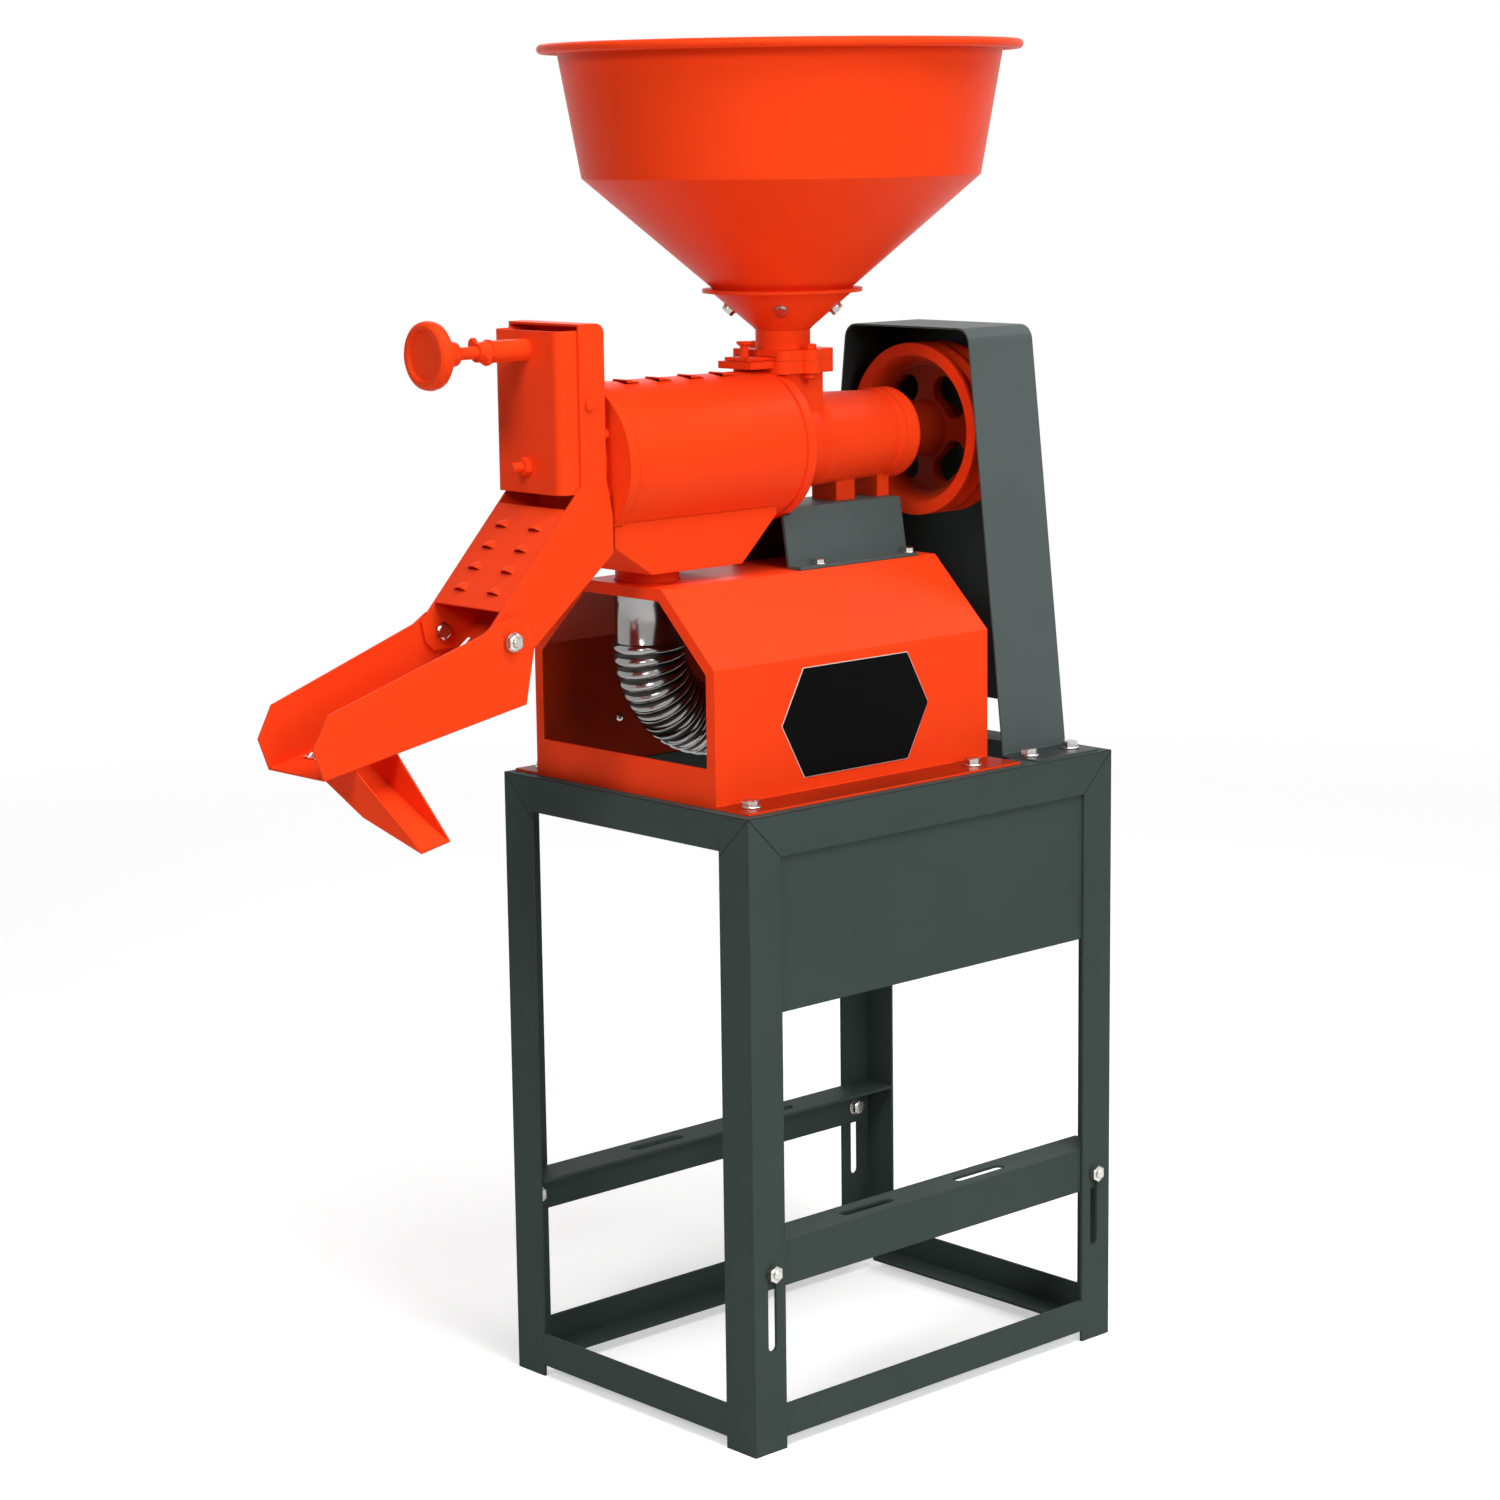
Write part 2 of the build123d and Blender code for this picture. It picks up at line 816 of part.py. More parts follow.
def feed_casting():
    left = drum_right
    flange_right = left + end_flange_width
    solid = rod_x(end_flange_radius, left, flange_right)
    solid += rod_x(feed_body_radius, flange_right, feed_body_right)
    solid += turned_x(housing_outline())
    tower = RectangleRounded(tower_length, tower_width, tower_corner)
    solid += Pos(feed_x, centre, axis_z) * extrude(tower, casting_flange_bottom - axis_z)
    solid += eared_plate(casting_flange_bottom, casting_top)
    # tongue over the drum that carries the pulled-out gate
    solid += block(
        left - tongue_length,
        feed_x,
        centre - tongue_half,
        centre + tongue_half,
        casting_top - tongue_thick,
        casting_top,
    )
    for start, end in foot_spans():
        solid += block(start, end, centre - foot_half, centre + foot_half, saddle_top, axis_z)
    # bores: screen seat, screw chamber, shaft hole, bearing seat; then the square feed throat
    solid -= rod_x(screen_bore + screen_sheet + screen_play, left, left + screen_seat)
    solid -= rod_x(screen_bore, left, roller_right + free_gap)
    solid -= rod_x(shaft_collar_radius + shaft_play, left, near_bearing)
    solid -= rod_x(bearing_radius, near_bearing, housing_right)
    throat = Rectangle(tower_length - 2 * tower_wall, tower_width - 2 * tower_wall)
    solid -= Pos(feed_x, centre, axis_z) * extrude(throat, casting_top - axis_z)
    for x, y in feed_bolt_places():
        solid -= rod_z(feed_bolt_size / 2 + bolt_play, casting_flange_bottom, casting_top, x, y)
    for x, y in foot_bolt_places():
        solid -= rod_z(saddle_bolt_size / 2, saddle_top, saddle_top + foot_tap_depth, x, y)
    return solid


def bearing_outer_rings():
    group = []
    inner = shaft_radius + bearing_ring
    for x in (near_bearing, far_bearing):
        ring = rod_x(bearing_radius, x, x + bearing_width)
        ring -= rod_x(inner + free_gap, x, x + bearing_width)
        ring -= rod_x(bearing_radius - bearing_ring, x + bearing_shield, x + bearing_width - bearing_shield)
        group.append(ring)
    return Compound(children=group)


def bearing_inner_rings():
    group = []
    for x in (near_bearing, far_bearing):
        ring = rod_x(shaft_radius + bearing_ring, x, x + bearing_width)
        group.append(ring - rod_x(shaft_radius, x, x + bearing_width))
    return Compound(children=group)


def bearing_cover():
    bore = shaft_radius + shaft_play
    inside = bearing_radius - running_play
    outline = [
        (far_bearing + bearing_width, bore),
        (far_bearing + bearing_width, inside),
        (housing_right, inside),
        (housing_right, cover_radius),
        (cover_right - cover_round, cover_radius),
        (cover_right - cover_round * 0.3, cover_radius - cover_round * 0.3),
        (cover_right, cover_radius - cover_round),
        (cover_right, bore),
    ]
    return turned_x(outline)


def key_box():
    x0 = pulley_left + key_inset
    z0 = axis_z + shaft_radius - key_height / 2
    half = key_width / 2
    return block(x0, x0 + key_length, centre - half, centre + half, z0, z0 + key_height)


def main_shaft():
    right = pulley_left + pulley_width
    outline = [
        (roller_left - roller_nut_length - thread_tail, 0),
        (roller_left - roller_nut_length - thread_tail, thread_radius),
        (roller_left, thread_radius),
        (roller_left, shaft_radius),
        (roller_right, shaft_radius),
        (roller_right, shaft_collar_radius),
        (near_bearing, shaft_collar_radius),
        (near_bearing, shaft_radius),
        (right, shaft_radius),
        (right, thread_radius),
        (right + pulley_nut_length + thread_tail, thread_radius),
        (right + pulley_nut_length + thread_tail, 0),
    ]
    return turned_x(outline) - key_box()


def milling_roller():
    solid = rod_x(roller_radius, roller_left, roller_right)
    screw_left = roller_right - screw_length
    top = screen_bore - roller_gap
    # feed screw: one flight wound along the right part
    path = Helix(screw_lead, screw_length - screw_flight * 2, roller_radius)
    start = path.position_at(0)
    profile = Plane(origin=start, x_dir=(1, 0, 0), z_dir=path.tangent_at(0))
    height = top - roller_radius
    face = profile * Pos((height - roller_root) / 2, 0) * Rectangle(height + roller_root, screw_flight)
    flight = sweep(face, path=path, is_frenet=True)
    solid += Pos(screw_left + screw_flight, centre, axis_z) * Rot(0, 90, 0) * flight
    # milling ribs along the left part
    for i in range(roller_rib_count):
        rib = block(
            roller_left,
            screw_left - roller_rib_gap,
            -roller_rib_width / 2,
            roller_rib_width / 2,
            roller_radius - roller_root,
            roller_radius + roller_rib_height,
        )
        turn = Rot(360.0 / roller_rib_count * i, 0, 0)
        solid += Pos(0, centre, axis_z) * turn * rib
    return solid - rod_x(shaft_radius, roller_left, roller_right)


def roller_nut():
    x = roller_left - roller_nut_length
    nut = Pos(x, centre, axis_z) * Rot(0, 90, 0) * hexagon(thread_radius * 3.0, roller_nut_length)
    return nut - rod_x(thread_radius, x, roller_left)


def pulley():
    x0 = pulley_left
    x1 = pulley_left + pulley_width
    mid = (x0 + x1) / 2
    hub_left = x0 - pulley_hub_lead
    rim_inner = pulley_radius - pulley_rim
    outline = [
        (hub_left, 0),
        (hub_left, pulley_hub_radius),
        (mid - pulley_web / 2 - pulley_web_step, pulley_hub_radius + pulley_web_round),
        (mid - pulley_web / 2, rim_inner - pulley_web_round),
        (mid - pulley_web / 2 - pulley_web_step, rim_inner),
        (x0, pulley_radius - pulley_rim_face),
        (x0, pulley_radius),
    ]
    for side in (-1, 1):
        g = mid + side * groove_pitch / 2
        half = groove_width / 2
        bottom = half - groove_depth * tan(radians(groove_flank))
        outline += [
            (g - half, pulley_radius),
            (g - bottom, pulley_radius - groove_depth),
            (g + bottom, pulley_radius - groove_depth),
            (g + half, pulley_radius),
        ]
    outline += [
        (x1, pulley_radius),
        (x1, pulley_radius - pulley_rim_face),
        (mid + pulley_web / 2 + pulley_web_step, rim_inner),
        (mid + pulley_web / 2, rim_inner - pulley_web_round),
        (mid + pulley_web / 2 + pulley_web_step, pulley_hub_radius + pulley_web_round),
        (x1, pulley_hub_radius),
        (x1, 0),
    ]
    solid = turned_x(outline)
    ring = (rim_inner + pulley_hub_radius) / 2
    for i in range(pulley_windows):
        centre_angle = 360.0 / pulley_windows * (i + 0.5)
        hole = None
        for step in (-pulley_window_step, 0.0, pulley_window_step):
            angle = radians(centre_angle + step)
            y = centre + ring * cos(angle)
            z = axis_z + ring * sin(angle)
            peg = rod_x(pulley_window_radius, x0, x1, y, z)
            hole = peg if hole is None else hole + peg
        solid -= hole
    return solid - rod_x(shaft_radius, hub_left, x1) - key_box()


def pulley_nut():
    x = pulley_left + pulley_width
    nut = Pos(x, centre, axis_z) * Rot(0, 90, 0) * hexagon(thread_radius * 3.3, pulley_nut_length)
    return nut - rod_x(thread_radius, x, x + pulley_nut_length)


def rice_screen():
    x0 = drum_left - screen_seat
    x1 = drum_right + screen_seat
    solid = rod_x(screen_bore + screen_sheet, x0, x1) - rod_x(screen_bore, x0, x1)
    pitch = (drum_length - 2 * screen_margin) / screen_slot_rows
    cuts = []
    for i in range(screen_slot_rows):
        x = drum_left + screen_margin + pitch * (i + 0.5)
        for angle in range(-screen_slot_spread, screen_slot_spread + 1, screen_slot_step):
            cut = block(
                x - screen_slot_length / 2,
                x + screen_slot_length / 2,
                -screen_slot_width / 2,
                screen_slot_width / 2,
                -screen_bore - screen_seat,
                -screen_bore + screen_seat,
            )
            cuts.append(Pos(0, centre, axis_z) * Rot(angle, 0, 0) * cut)
    return solid.cut(*cuts)


def drum_louvre_places():
    pitch = drum_length / (drum_louvre_count + 1.3)
    return [drum_left + pitch * (i + 1) for i in range(drum_louvre_count)]


def drum_cover():
    solid = rod_x(drum_radius, drum_left, drum_right)
    # small louvres along the top, open towards the outlet
    top = drum_radius + drum_louvre_rise
    front = centre - drum_louvre_width + drum_louvre_lip
    back = centre + drum_louvre_lip
    wall = drum_louvre_wall
    mouth = drum_louvre_length * 0.43
    for x in drum_louvre_places():
        hump = [
            (x - mouth, drum_radius - wall),
            (x - mouth, top),
            (x - mouth + drum_louvre_lip, top),
            (x - mouth + drum_louvre_length, drum_radius - wall),
        ]
        solid += Pos(0, 0, axis_z) * prism_xz(hump, front, back)
    solid -= rod_x(drum_radius - drum_sheet, drum_left, drum_right)
    low = drum_radius - drum_sheet * 4
    under = top - wall
    for x in drum_louvre_places():
        slit = [
            (x - mouth - wall, low),
            (x - mouth - wall, under),
            (x - mouth + drum_louvre_lip, under),
            (x - mouth + drum_louvre_length - 3 * wall, low),
        ]
        solid -= Pos(0, 0, axis_z) * prism_xz(slit, front + wall, back - wall)
    solid -= block(
        drum_left + drum_slit_margin,
        bran_right_top - bran_slit_gap,
        centre - drum_slit_half,
        centre + drum_slit_half,
        axis_z - drum_radius - hole_depth,
        axis_z,
    )
    return solid


def bran_outline(inset):
    left = flange_left + bran_lap + inset
    bottom = bran_bottom + inset
    top = axis_z
    return [
        (left, top),
        (left, axis_z - bran_left_drop + inset * 0.3),
        (bran_mouth_left + inset * 0.6, bottom),
        (bran_mouth_right - inset * 0.6, bottom),
        (bran_right_top - inset, axis_z - drum_radius + bran_right_rise),
        (bran_right_top - inset, top),
    ]


def bran_hopper():
    half = bran_half_width
    solid = prism_xz(bran_outline(0.0), centre - half, centre + half)
    inner = half - bran_sheet
    solid -= prism_xz(bran_outline(bran_sheet), centre - inner, centre + inner)
    solid -= rod_x(drum_radius + running_play, drum_left - bran_lap, drum_right)
    solid -= rod_x(end_flange_radius + free_gap, flange_left - bran_lap, drum_left + free_gap)
    wide = half + bran_lap
    top = axis_z + bran_lap
    solid -= block(flange_left, drum_right, centre - wide, centre + wide, axis_z - bran_wall_drop, top)
    low = hood_top - spigot_drop
    solid += rod_z(spigot_radius, low, bran_bottom + bran_sheet, spigot_x, spigot_y)
    return solid - rod_z(spigot_radius - bran_sheet, low, bran_bottom + bran_sheet, spigot_x, spigot_y)


def hose_point(s, start, turn_at):
    # place and heading at a length s along the hose: down, a quarter bend, then along X
    arc = hose_bend * pi / 2
    if s <= turn_at:
        return (spigot_x, start - s), (0.0, -1.0)
    if s <= turn_at + arc:
        a = (s - turn_at) / hose_bend
        x = spigot_x + hose_bend * (1 - cos(a))
        return (x, start - turn_at - hose_bend * sin(a)), (sin(a), -cos(a))
    return (spigot_x + hose_bend + s - turn_at - arc, start - turn_at - hose_bend), (1.0, 0.0)


def bran_hose():
    start = hood_top - hood_sheet - hose_gap
    turn_at = hose_cuff_length + hose_drop
    bore = spigot_radius + free_gap
    outside = bore + hose_wall
    total = turn_at + hose_bend * pi / 2 + hose_run + hose_end_cuff
    ridges = int((total - hose_cuff_length - hose_end_cuff) / hose_pitch)
    places = [(0.0, outside), (hose_cuff_length, outside)]
    for i in range(ridges):
        s = hose_cuff_length + hose_pitch * i
        places.append((s + hose_pitch * 0.5, outside + hose_ridge))
        places.append((s + hose_pitch * 0.98, outside))
    places.append((total, outside))
    rings = []
    for s, radius in places:
        (x, z), (dx, dz) = hose_point(s, start, turn_at)
        rings.append(Plane(origin=(x, spigot_y, z), x_dir=(0, 1, 0), z_dir=(dx, 0, dz)) * Circle(radius))
    solid = loft(rings, ruled=True)
    first = Line((spigot_x, spigot_y, start), (spigot_x, spigot_y, start - turn_at))
    corner = (spigot_x + hose_bend, spigot_y, start - turn_at - hose_bend)
    bend = TangentArc(first @ 1, corner, tangent=(0, 0, -1))
    last = Line(bend @ 1, (corner[0] + hose_run + hose_end_cuff, spigot_y, corner[2]))
    tunnel = sweep(Plane(origin=first @ 0, z_dir=(0, 0, -1)) * Circle(bore), path=Wire([first, bend, last]))
    return solid - tunnel


def hopper_bolt_angles():
    return [45.0, 135.0, 225.0, 315.0]


def hopper_bolt_frame(angle):
    # middle of the seat cone, looking square out of its surface
    lean = degrees(atan2(hopper_cone_slope, 1.0))
    rise = seat_cone_height * seat_bolt_share
    radius = hopper_mouth_radius + rise / hopper_cone_slope
    height = hopper_foot_z + rise
    return Pos(feed_x, centre, 0) * Rot(0, 0, angle) * Pos(radius, 0, height) * Rot(0, 180 - lean, 0)


def hopper_holes(size):
    hole = None
    for angle in hopper_bolt_angles():
        peg = hopper_bolt_frame(angle) * Cylinder(size, 2 * hole_depth)
        hole = peg if hole is None else hole + peg
    return hole


def feed_hopper():
    line = [
        (hopper_rim_radius - hopper_bead, hopper_rim_z),
        (hopper_wall_top, hopper_rim_z),
        (hopper_crease_radius, hopper_crease_z),
        (hopper_mouth_radius, hopper_foot_z),
    ]
    solid = spun(bend_line(line, -hopper_sheet), feed_x, centre)
    middle = Pos(hopper_rim_radius - hopper_bead, hopper_rim_z - hopper_sheet / 2)
    ring = Plane.XZ * middle * Circle(hopper_bead)
    solid += Pos(feed_x, centre, 0) * revolve(ring, Axis.Z)
    return solid - hopper_holes(hopper_bolt_size / 2 + bolt_play)


def feed_bolt_places():
    return [(feed_x, centre - feed_bolt_offset), (feed_x, centre + feed_bolt_offset)]


def hopper_seat():
    slope = hopper_cone_slope
    step = hypot(1.0, slope)
    # the cone hugs the outside of the hopper cone
    inner_low = hopper_mouth_radius
    low = hopper_foot_z
    inner_high = inner_low + seat_cone_height / slope
    high = low + seat_cone_height
    drop = seat_wall * step
    outline = [
        (feed_bore, seat_bottom),
        (feed_bore, cone_bottom - drop + seat_bead / 2),
        (inner_low, low),
        (inner_high, high),
        (inner_high + seat_lip + seat_wall, high),
        (inner_high + seat_lip + seat_wall, high - seat_wall),
        (inner_high + (drop - seat_wall) / slope, high - seat_wall),
        (seat_tube_radius, high - drop - (inner_high - seat_tube_radius) * slope),
        (seat_tube_radius, cone_bottom - drop - seat_bead / 2),
        (seat_tube_radius + seat_bead, cone_bottom - drop - seat_bead * 1.5),
        (seat_tube_radius, cone_bottom - drop - seat_bead * 2.5),
        (seat_tube_radius, seat_bottom),
    ]
    solid = spun(outline, feed_x, centre)
    solid += eared_plate(casting_top, seat_top)
    # slot that the gate slides in, closed at the far end
    x0 = feed_x - feed_flange_half
    x1 = feed_x + feed_bore + gate_lap + gate_play
    guide = gate_width / 2 + gate_play
    solid -= block(x0, x1, centre - guide, centre + guide, casting_top, seat_bottom)
    solid -= rod_z(feed_bore, casting_top, seat_top, feed_x, centre)
    for x, y in feed_bolt_places():
        solid -= rod_z(feed_bolt_size / 2 + bolt_play, casting_top, seat_top, x, y)
    return solid - hopper_holes(hopper_bolt_size / 2 + bolt_play)


def hopper_bolts():
    group = []
    # the flat nut stands a little off the hollow side of the cone
    grip = seat_wall + hopper_sheet + nut_standoff
    for angle in hopper_bolt_angles():
        peg = bolt(hopper_bolt_size, grip, tail=short_tail)
        group.append(hopper_bolt_frame(angle) * Pos(0, 0, seat_wall) * peg)
    return Compound(children=group)


def feed_flange_bolts():
    group = []
    grip = seat_top - casting_flange_bottom
    for x, y in feed_bolt_places():
        group.append(Pos(x, y, seat_top) * bolt(feed_bolt_size, grip))
    return Compound(children=group)


def feed_gate():
    top = gate_bottom + gate_thick
    left = feed_x - feed_flange_half
    half = gate_width / 2
    solid = block(left, feed_x + feed_bore + gate_lap, centre - half, centre + half, gate_bottom, top)
    tab = gate_tab_width / 2
    solid += block(left - gate_tab_length, left, centre - tab, centre + tab, gate_bottom, top)
    return solid - rod_z(gate_pin_radius, gate_bottom, top, feed_x - gate_knob_offset, centre)


def gate_knob():
    z = gate_bottom
    top = gate_bottom + gate_thick
    head = top + gate_head_height
    outline = [
        (0, z),
        (gate_pin_radius, z),
        (gate_pin_radius, top),
        (gate_neck_radius, top),
        (gate_neck_radius, top + gate_neck_height),
        (gate_head_radius, (top + gate_neck_height + head) / 2),
        (gate_head_radius, head),
        (0, head + free_gap),
    ]
    return spun(outline, feed_x - gate_knob_offset, centre)


def outlet_flange():
    solid = rod_x(end_flange_radius, flange_left, drum_left)
    solid += rod_x(screen_bore + collar_wall, collar_end, flange_left)
    solid -= rod_x(screen_bore + screen_sheet + screen_play, drum_left - screen_seat, drum_left)
    solid -= rod_x(screen_bore, collar_end, drum_left)
    for y, z in stud_places():
        solid -= rod_x(stud_radius, flange_left, drum_left, y, z)
    return solid


def stud_places():
    places = []
    for side in (-1, 1):
        for updown in (-1, 1):
            y = centre + side * stud_circle * cos(radians(stud_angle))
            places.append((y, axis_z + updown * stud_circle * sin(radians(stud_angle))))
    return places


def flange_studs():
    group = []
    nut = stud_radius * 3.3
    end = chute_face - stud_radius * 1.6
    for y, z in stud_places():
        solid = rod_x(stud_radius, end - short_tail, drum_left, y, z)
        solid += Pos(end, y, z) * Rot(0, 90, 0) * hexagon(nut, chute_face - end)
        solid += Pos(back_plate, y, z) * Rot(0, 90, 0) * hexagon(nut, chute_nut)
        group.append(solid)
    return Compound(children=group)


def chute_side_outline():
    top = axis_z + chute_top_rise
    neck = axis_z - chute_neck_top
    sole = pivot_z - chute_sole_drop
    heel = pivot_z - chute_heel_drop
    start, stop = chute_floor_line()
    outline = [(chute_left, top)]
    outline += round_corner((chute_left, top), (back_plate, top), (back_plate, neck), chute_corner)
    outline += [
        (back_plate, neck),
        (start[0], axis_z - chute_neck_drop),
        start,
        stop,
        (pivot_x + chute_sole, sole),
        (pivot_x - chute_sole / 2, sole),
        (pivot_x - chute_sole, heel),
        chute_toe_point(),
        (chute_left, axis_z - chute_knee_drop),
    ]
    return outline


def chute_toe_point():
    return pivot_x - chute_toe, pivot_z + chute_toe_rise


def chute_floor_line():
    start = (flange_left - chute_lap, axis_z - chute_floor_drop)
    return start, (pivot_x + chute_heel, pivot_z - chute_heel_drop)


def outlet_chute():
    side = chute_side_outline()
    outer = chute_half
    inner = chute_half - chute_sheet
    solid = prism_xz(side, centre - outer, centre - inner)
    solid += prism_xz(side, centre + inner, centre + outer)
    top = axis_z + chute_top_rise
    start, stop = chute_floor_line()
    slope = (start[1] - stop[1]) / (start[0] - stop[0])
    lift = chute_sheet * hypot(1.0, slope)
    foot = start[1] - slope * (start[0] - chute_face)
    solid += block(chute_face, back_plate, centre - inner, centre + inner, foot, top - chute_corner)
    roof = [(chute_left, top)]
    roof += round_corner((chute_left, top), (back_plate, top), (back_plate, axis_z), chute_corner)
    solid += prism_xz(bend_line(roof, -chute_sheet), centre - inner, centre + inner)
    end_x = stop[0] - chute_lip
    end_z = stop[1] - chute_lip * slope
    floor = [start, stop, (stop[0], stop[1] + lift), (start[0], start[1] + lift)]
    solid += prism_xz(floor, centre - inner, centre + inner)
    lip = [stop, (end_x, end_z), (end_x, end_z + lift), (stop[0], stop[1] + lift)]
    solid += prism_xz(lip, centre - inner + chute_lip_inset, centre + inner - chute_lip_inset)
    solid -= rod_x(screen_bore + collar_wall + free_gap, chute_face - 1, back_plate + 1)
    for y, z in stud_places():
        solid -= rod_x(stud_radius + free_gap, chute_face - 1, back_plate + 1, y, z)
    for sy in (-1, 1):
        y0 = centre + sy * outer
        y1 = centre + sy * inner
        solid -= rod_y(pin_radius, min(y0, y1), max(y0, y1), pin_x, pin_z)
        solid -= rod_y(pivot_bolt_size / 2, min(y0, y1), max(y0, y1), pivot_x, pivot_z)
    return solid


def outlet_cover():
    t = cover_sheet
    half = chute_half - chute_sheet - free_gap
    z0 = axis_z - cover_drop
    z1 = axis_z + cover_top_rise
    back = chute_left + cover_lap
    near = centre - half
    far = centre + half
    plan = [(back, near), (cover_face, near), (cover_face, far), (back, far)]
    corner_a = round_corner(plan[0], plan[1], plan[2], cover_corner)
    corner_b = round_corner(plan[1], plan[2], plan[3], cover_corner)
    line = [plan[0]] + corner_a + corner_b + [plan[3]]
    solid = prism_xy(bend_line(line, -t), z0, z1)
    solid += rod_x(boss_radius, cover_face - boss_length, cover_face + t, centre, screw_z)
    solid -= rod_x(screw_radius + running_play, cover_face - boss_length, cover_face + t, centre, screw_z)
    solid -= rod_x(cover_bolt_size / 2, cover_face - 1, cover_face + t + 1)
    for sy in (-1, 1):
        y0 = centre + sy * (half - t - 1)
        y1 = centre + sy * (half + 1)
        solid -= rod_y(pin_radius + free_gap, min(y0, y1), max(y0, y1), pin_x, pin_z)
    return solid


def cover_bolt():
    inner = cover_face + cover_sheet
    solid = rod_x(cover_bolt_size / 2, cover_face - cover_bolt_reach, inner + cover_bolt_reach)
    across = cover_bolt_size * 1.6
    nut = cover_bolt_size * 0.8
    solid += Pos(cover_face - nut, centre, axis_z) * Rot(0, 90, 0) * hexagon(across, nut)
    return solid + Pos(inner, centre, axis_z) * Rot(0, 90, 0) * hexagon(across, cover_bolt_size / 2)


def louvre_plate():
    # slanted sheet between the side plates, two columns of half-moon louvres
    top = (chute_left, axis_z - chute_knee_drop)
    low = chute_toe_point()
    slope = atan2(top[1] - low[1], top[0] - low[0])
    length = hypot(top[0] - low[0], top[1] - low[1])
    half = chute_half - chute_sheet
    t = louvre_sheet
    run = length * louvre_plate_share
    solid = block(0, run, -half, half, -t, 0)
    pitch = (run - 2 * louvre_margin) / louvre_rows
    # each louvre is half a shallow dome, open on its lower side
    dome = (louvre_radius ** 2 + louvre_height ** 2) / (2 * louvre_height)
    for row in range(louvre_rows):
        for column in (-1, 1):
            x = louvre_margin + pitch * (row + 0.3)
            y = column * half * 0.5
            place = Pos(x, y, louvre_height - dome)
            end = x + 2 * louvre_radius
            near = y - louvre_radius
            far = y + louvre_radius
            ahead = block(x, end, near, far, -t / 2, louvre_height)
            hollow = block(x - free_gap, end, near, far, -2 * t, louvre_height)
            solid += place * Sphere(dome) & ahead
            solid -= place * Sphere(dome - louvre_wall) & hollow
    lead = length * louvre_plate_start
    start = (low[0] + lead * cos(slope), low[1] + lead * sin(slope))
    return Pos(start[0], centre, start[1]) * Rot(0, -degrees(slope), 0) * solid


def flap_pin():
    outer = chute_half
    solid = rod_y(pin_radius, centre - outer, centre + outer, pin_x, pin_z)
    head = pin_radius * 1.5
    solid += rod_y(head, centre - outer - pin_head, centre - outer, pin_x, pin_z)
    return solid + rod_y(head, centre + outer, centre + outer + pin_head, pin_x, pin_z)


def arm_left():
    return pin_x - knuckle_radius - flap_arm_gap


def outlet_flap():
    half = flap_half
    right = collar_end - free_gap
    solid = rod_y(knuckle_radius, centre - half, centre + half, pin_x, pin_z)
    solid += rod_x(flap_disc_radius, right - flap_thick, right)
    neck = half - flap_neck_inset
    solid += block(right - flap_thick, right, centre - neck, centre + neck, axis_z, pin_z)
    left = arm_left()
    arm = flap_arm_half
    solid += block(left, left + flap_thick, centre - arm, centre + arm, pin_z, screw_z + flap_arm_rise)
    return solid - rod_y(pin_radius + running_play, centre - half, centre + half, pin_x, pin_z)


def flap_spring():
    left = cover_face + cover_sheet
    right = collar_end - free_gap - flap_thick
    wire = spring_wire
    length = right - left - 2 * wire - 2 * running_play
    path = Helix(length / spring_turns, length, cover_bolt_size / 2 + spring_gap)
    profile = Plane(origin=path.position_at(0), z_dir=path.tangent_at(0))
    coil = sweep(profile * RegularPolygon(wire, 6), path=path, is_frenet=True)
    return Pos(left + wire + running_play, centre, axis_z) * Rot(0, 90, 0) * coil


def pad_tip():
    return arm_left() - free_gap


def screw_pad():
    tip = pad_tip()
    back = tip - pad_length
    hole = screw_radius - spigot_step + running_play
    rise = pad_dome - sqrt(pad_dome ** 2 - pad_radius ** 2)
    outline = [(back, hole), (back, pad_radius), (tip - rise, pad_radius)]
    for i in range(1, 6):
        radius = pad_radius * (1 - i / 6.0)
        outline.append((tip - pad_dome + sqrt(pad_dome ** 2 - radius ** 2), radius))
    outline += [(tip, 0), (back + spigot_tip + free_gap, 0), (back + spigot_tip + free_gap, hole)]
    return turned_x(outline, centre, screw_z)


def adjusting_screw():
    back = pad_tip() - pad_length
    end = cover_face - boss_length - knob_setback - knob_hub_length
    outline = [
        (end, 0),
        (end, screw_radius),
        (back - free_gap, screw_radius),
        (back - free_gap, screw_radius - spigot_step),
        (back + spigot_tip, screw_radius - spigot_step),
        (back + spigot_tip, 0),
    ]
    return turned_x(outline, centre, screw_z)


def hand_knob():
    right = cover_face - boss_length - knob_setback
    face = right - knob_hub_length
    left = face - knob_width
    rim = knob_radius
    outline = [
        (right, screw_radius),
        (right, knob_hub_radius),
        (face, knob_hub_radius + 3.0),
        (face, rim - 4.0),
        (face - 3.0, rim - 0.8),
        (face - 7.0, rim),
        (left + 2.0, rim - 1.0),
        (left, rim - 3.5),
        (left, rim - 7.0),
        (left + 3.0, rim - 8.5),
        (left + 3.0, 0),
        (face, 0),
        (face, screw_radius),
    ]
    return turned_x(outline, centre, screw_z)


def lock_washer():
    right = cover_face - boss_length
    solid = rod_x(boss_radius + 1.0, right - lock_washer_thick, right, centre, screw_z)
    return solid - rod_x(screw_radius + running_play, right - lock_washer_thick, right, centre, screw_z)


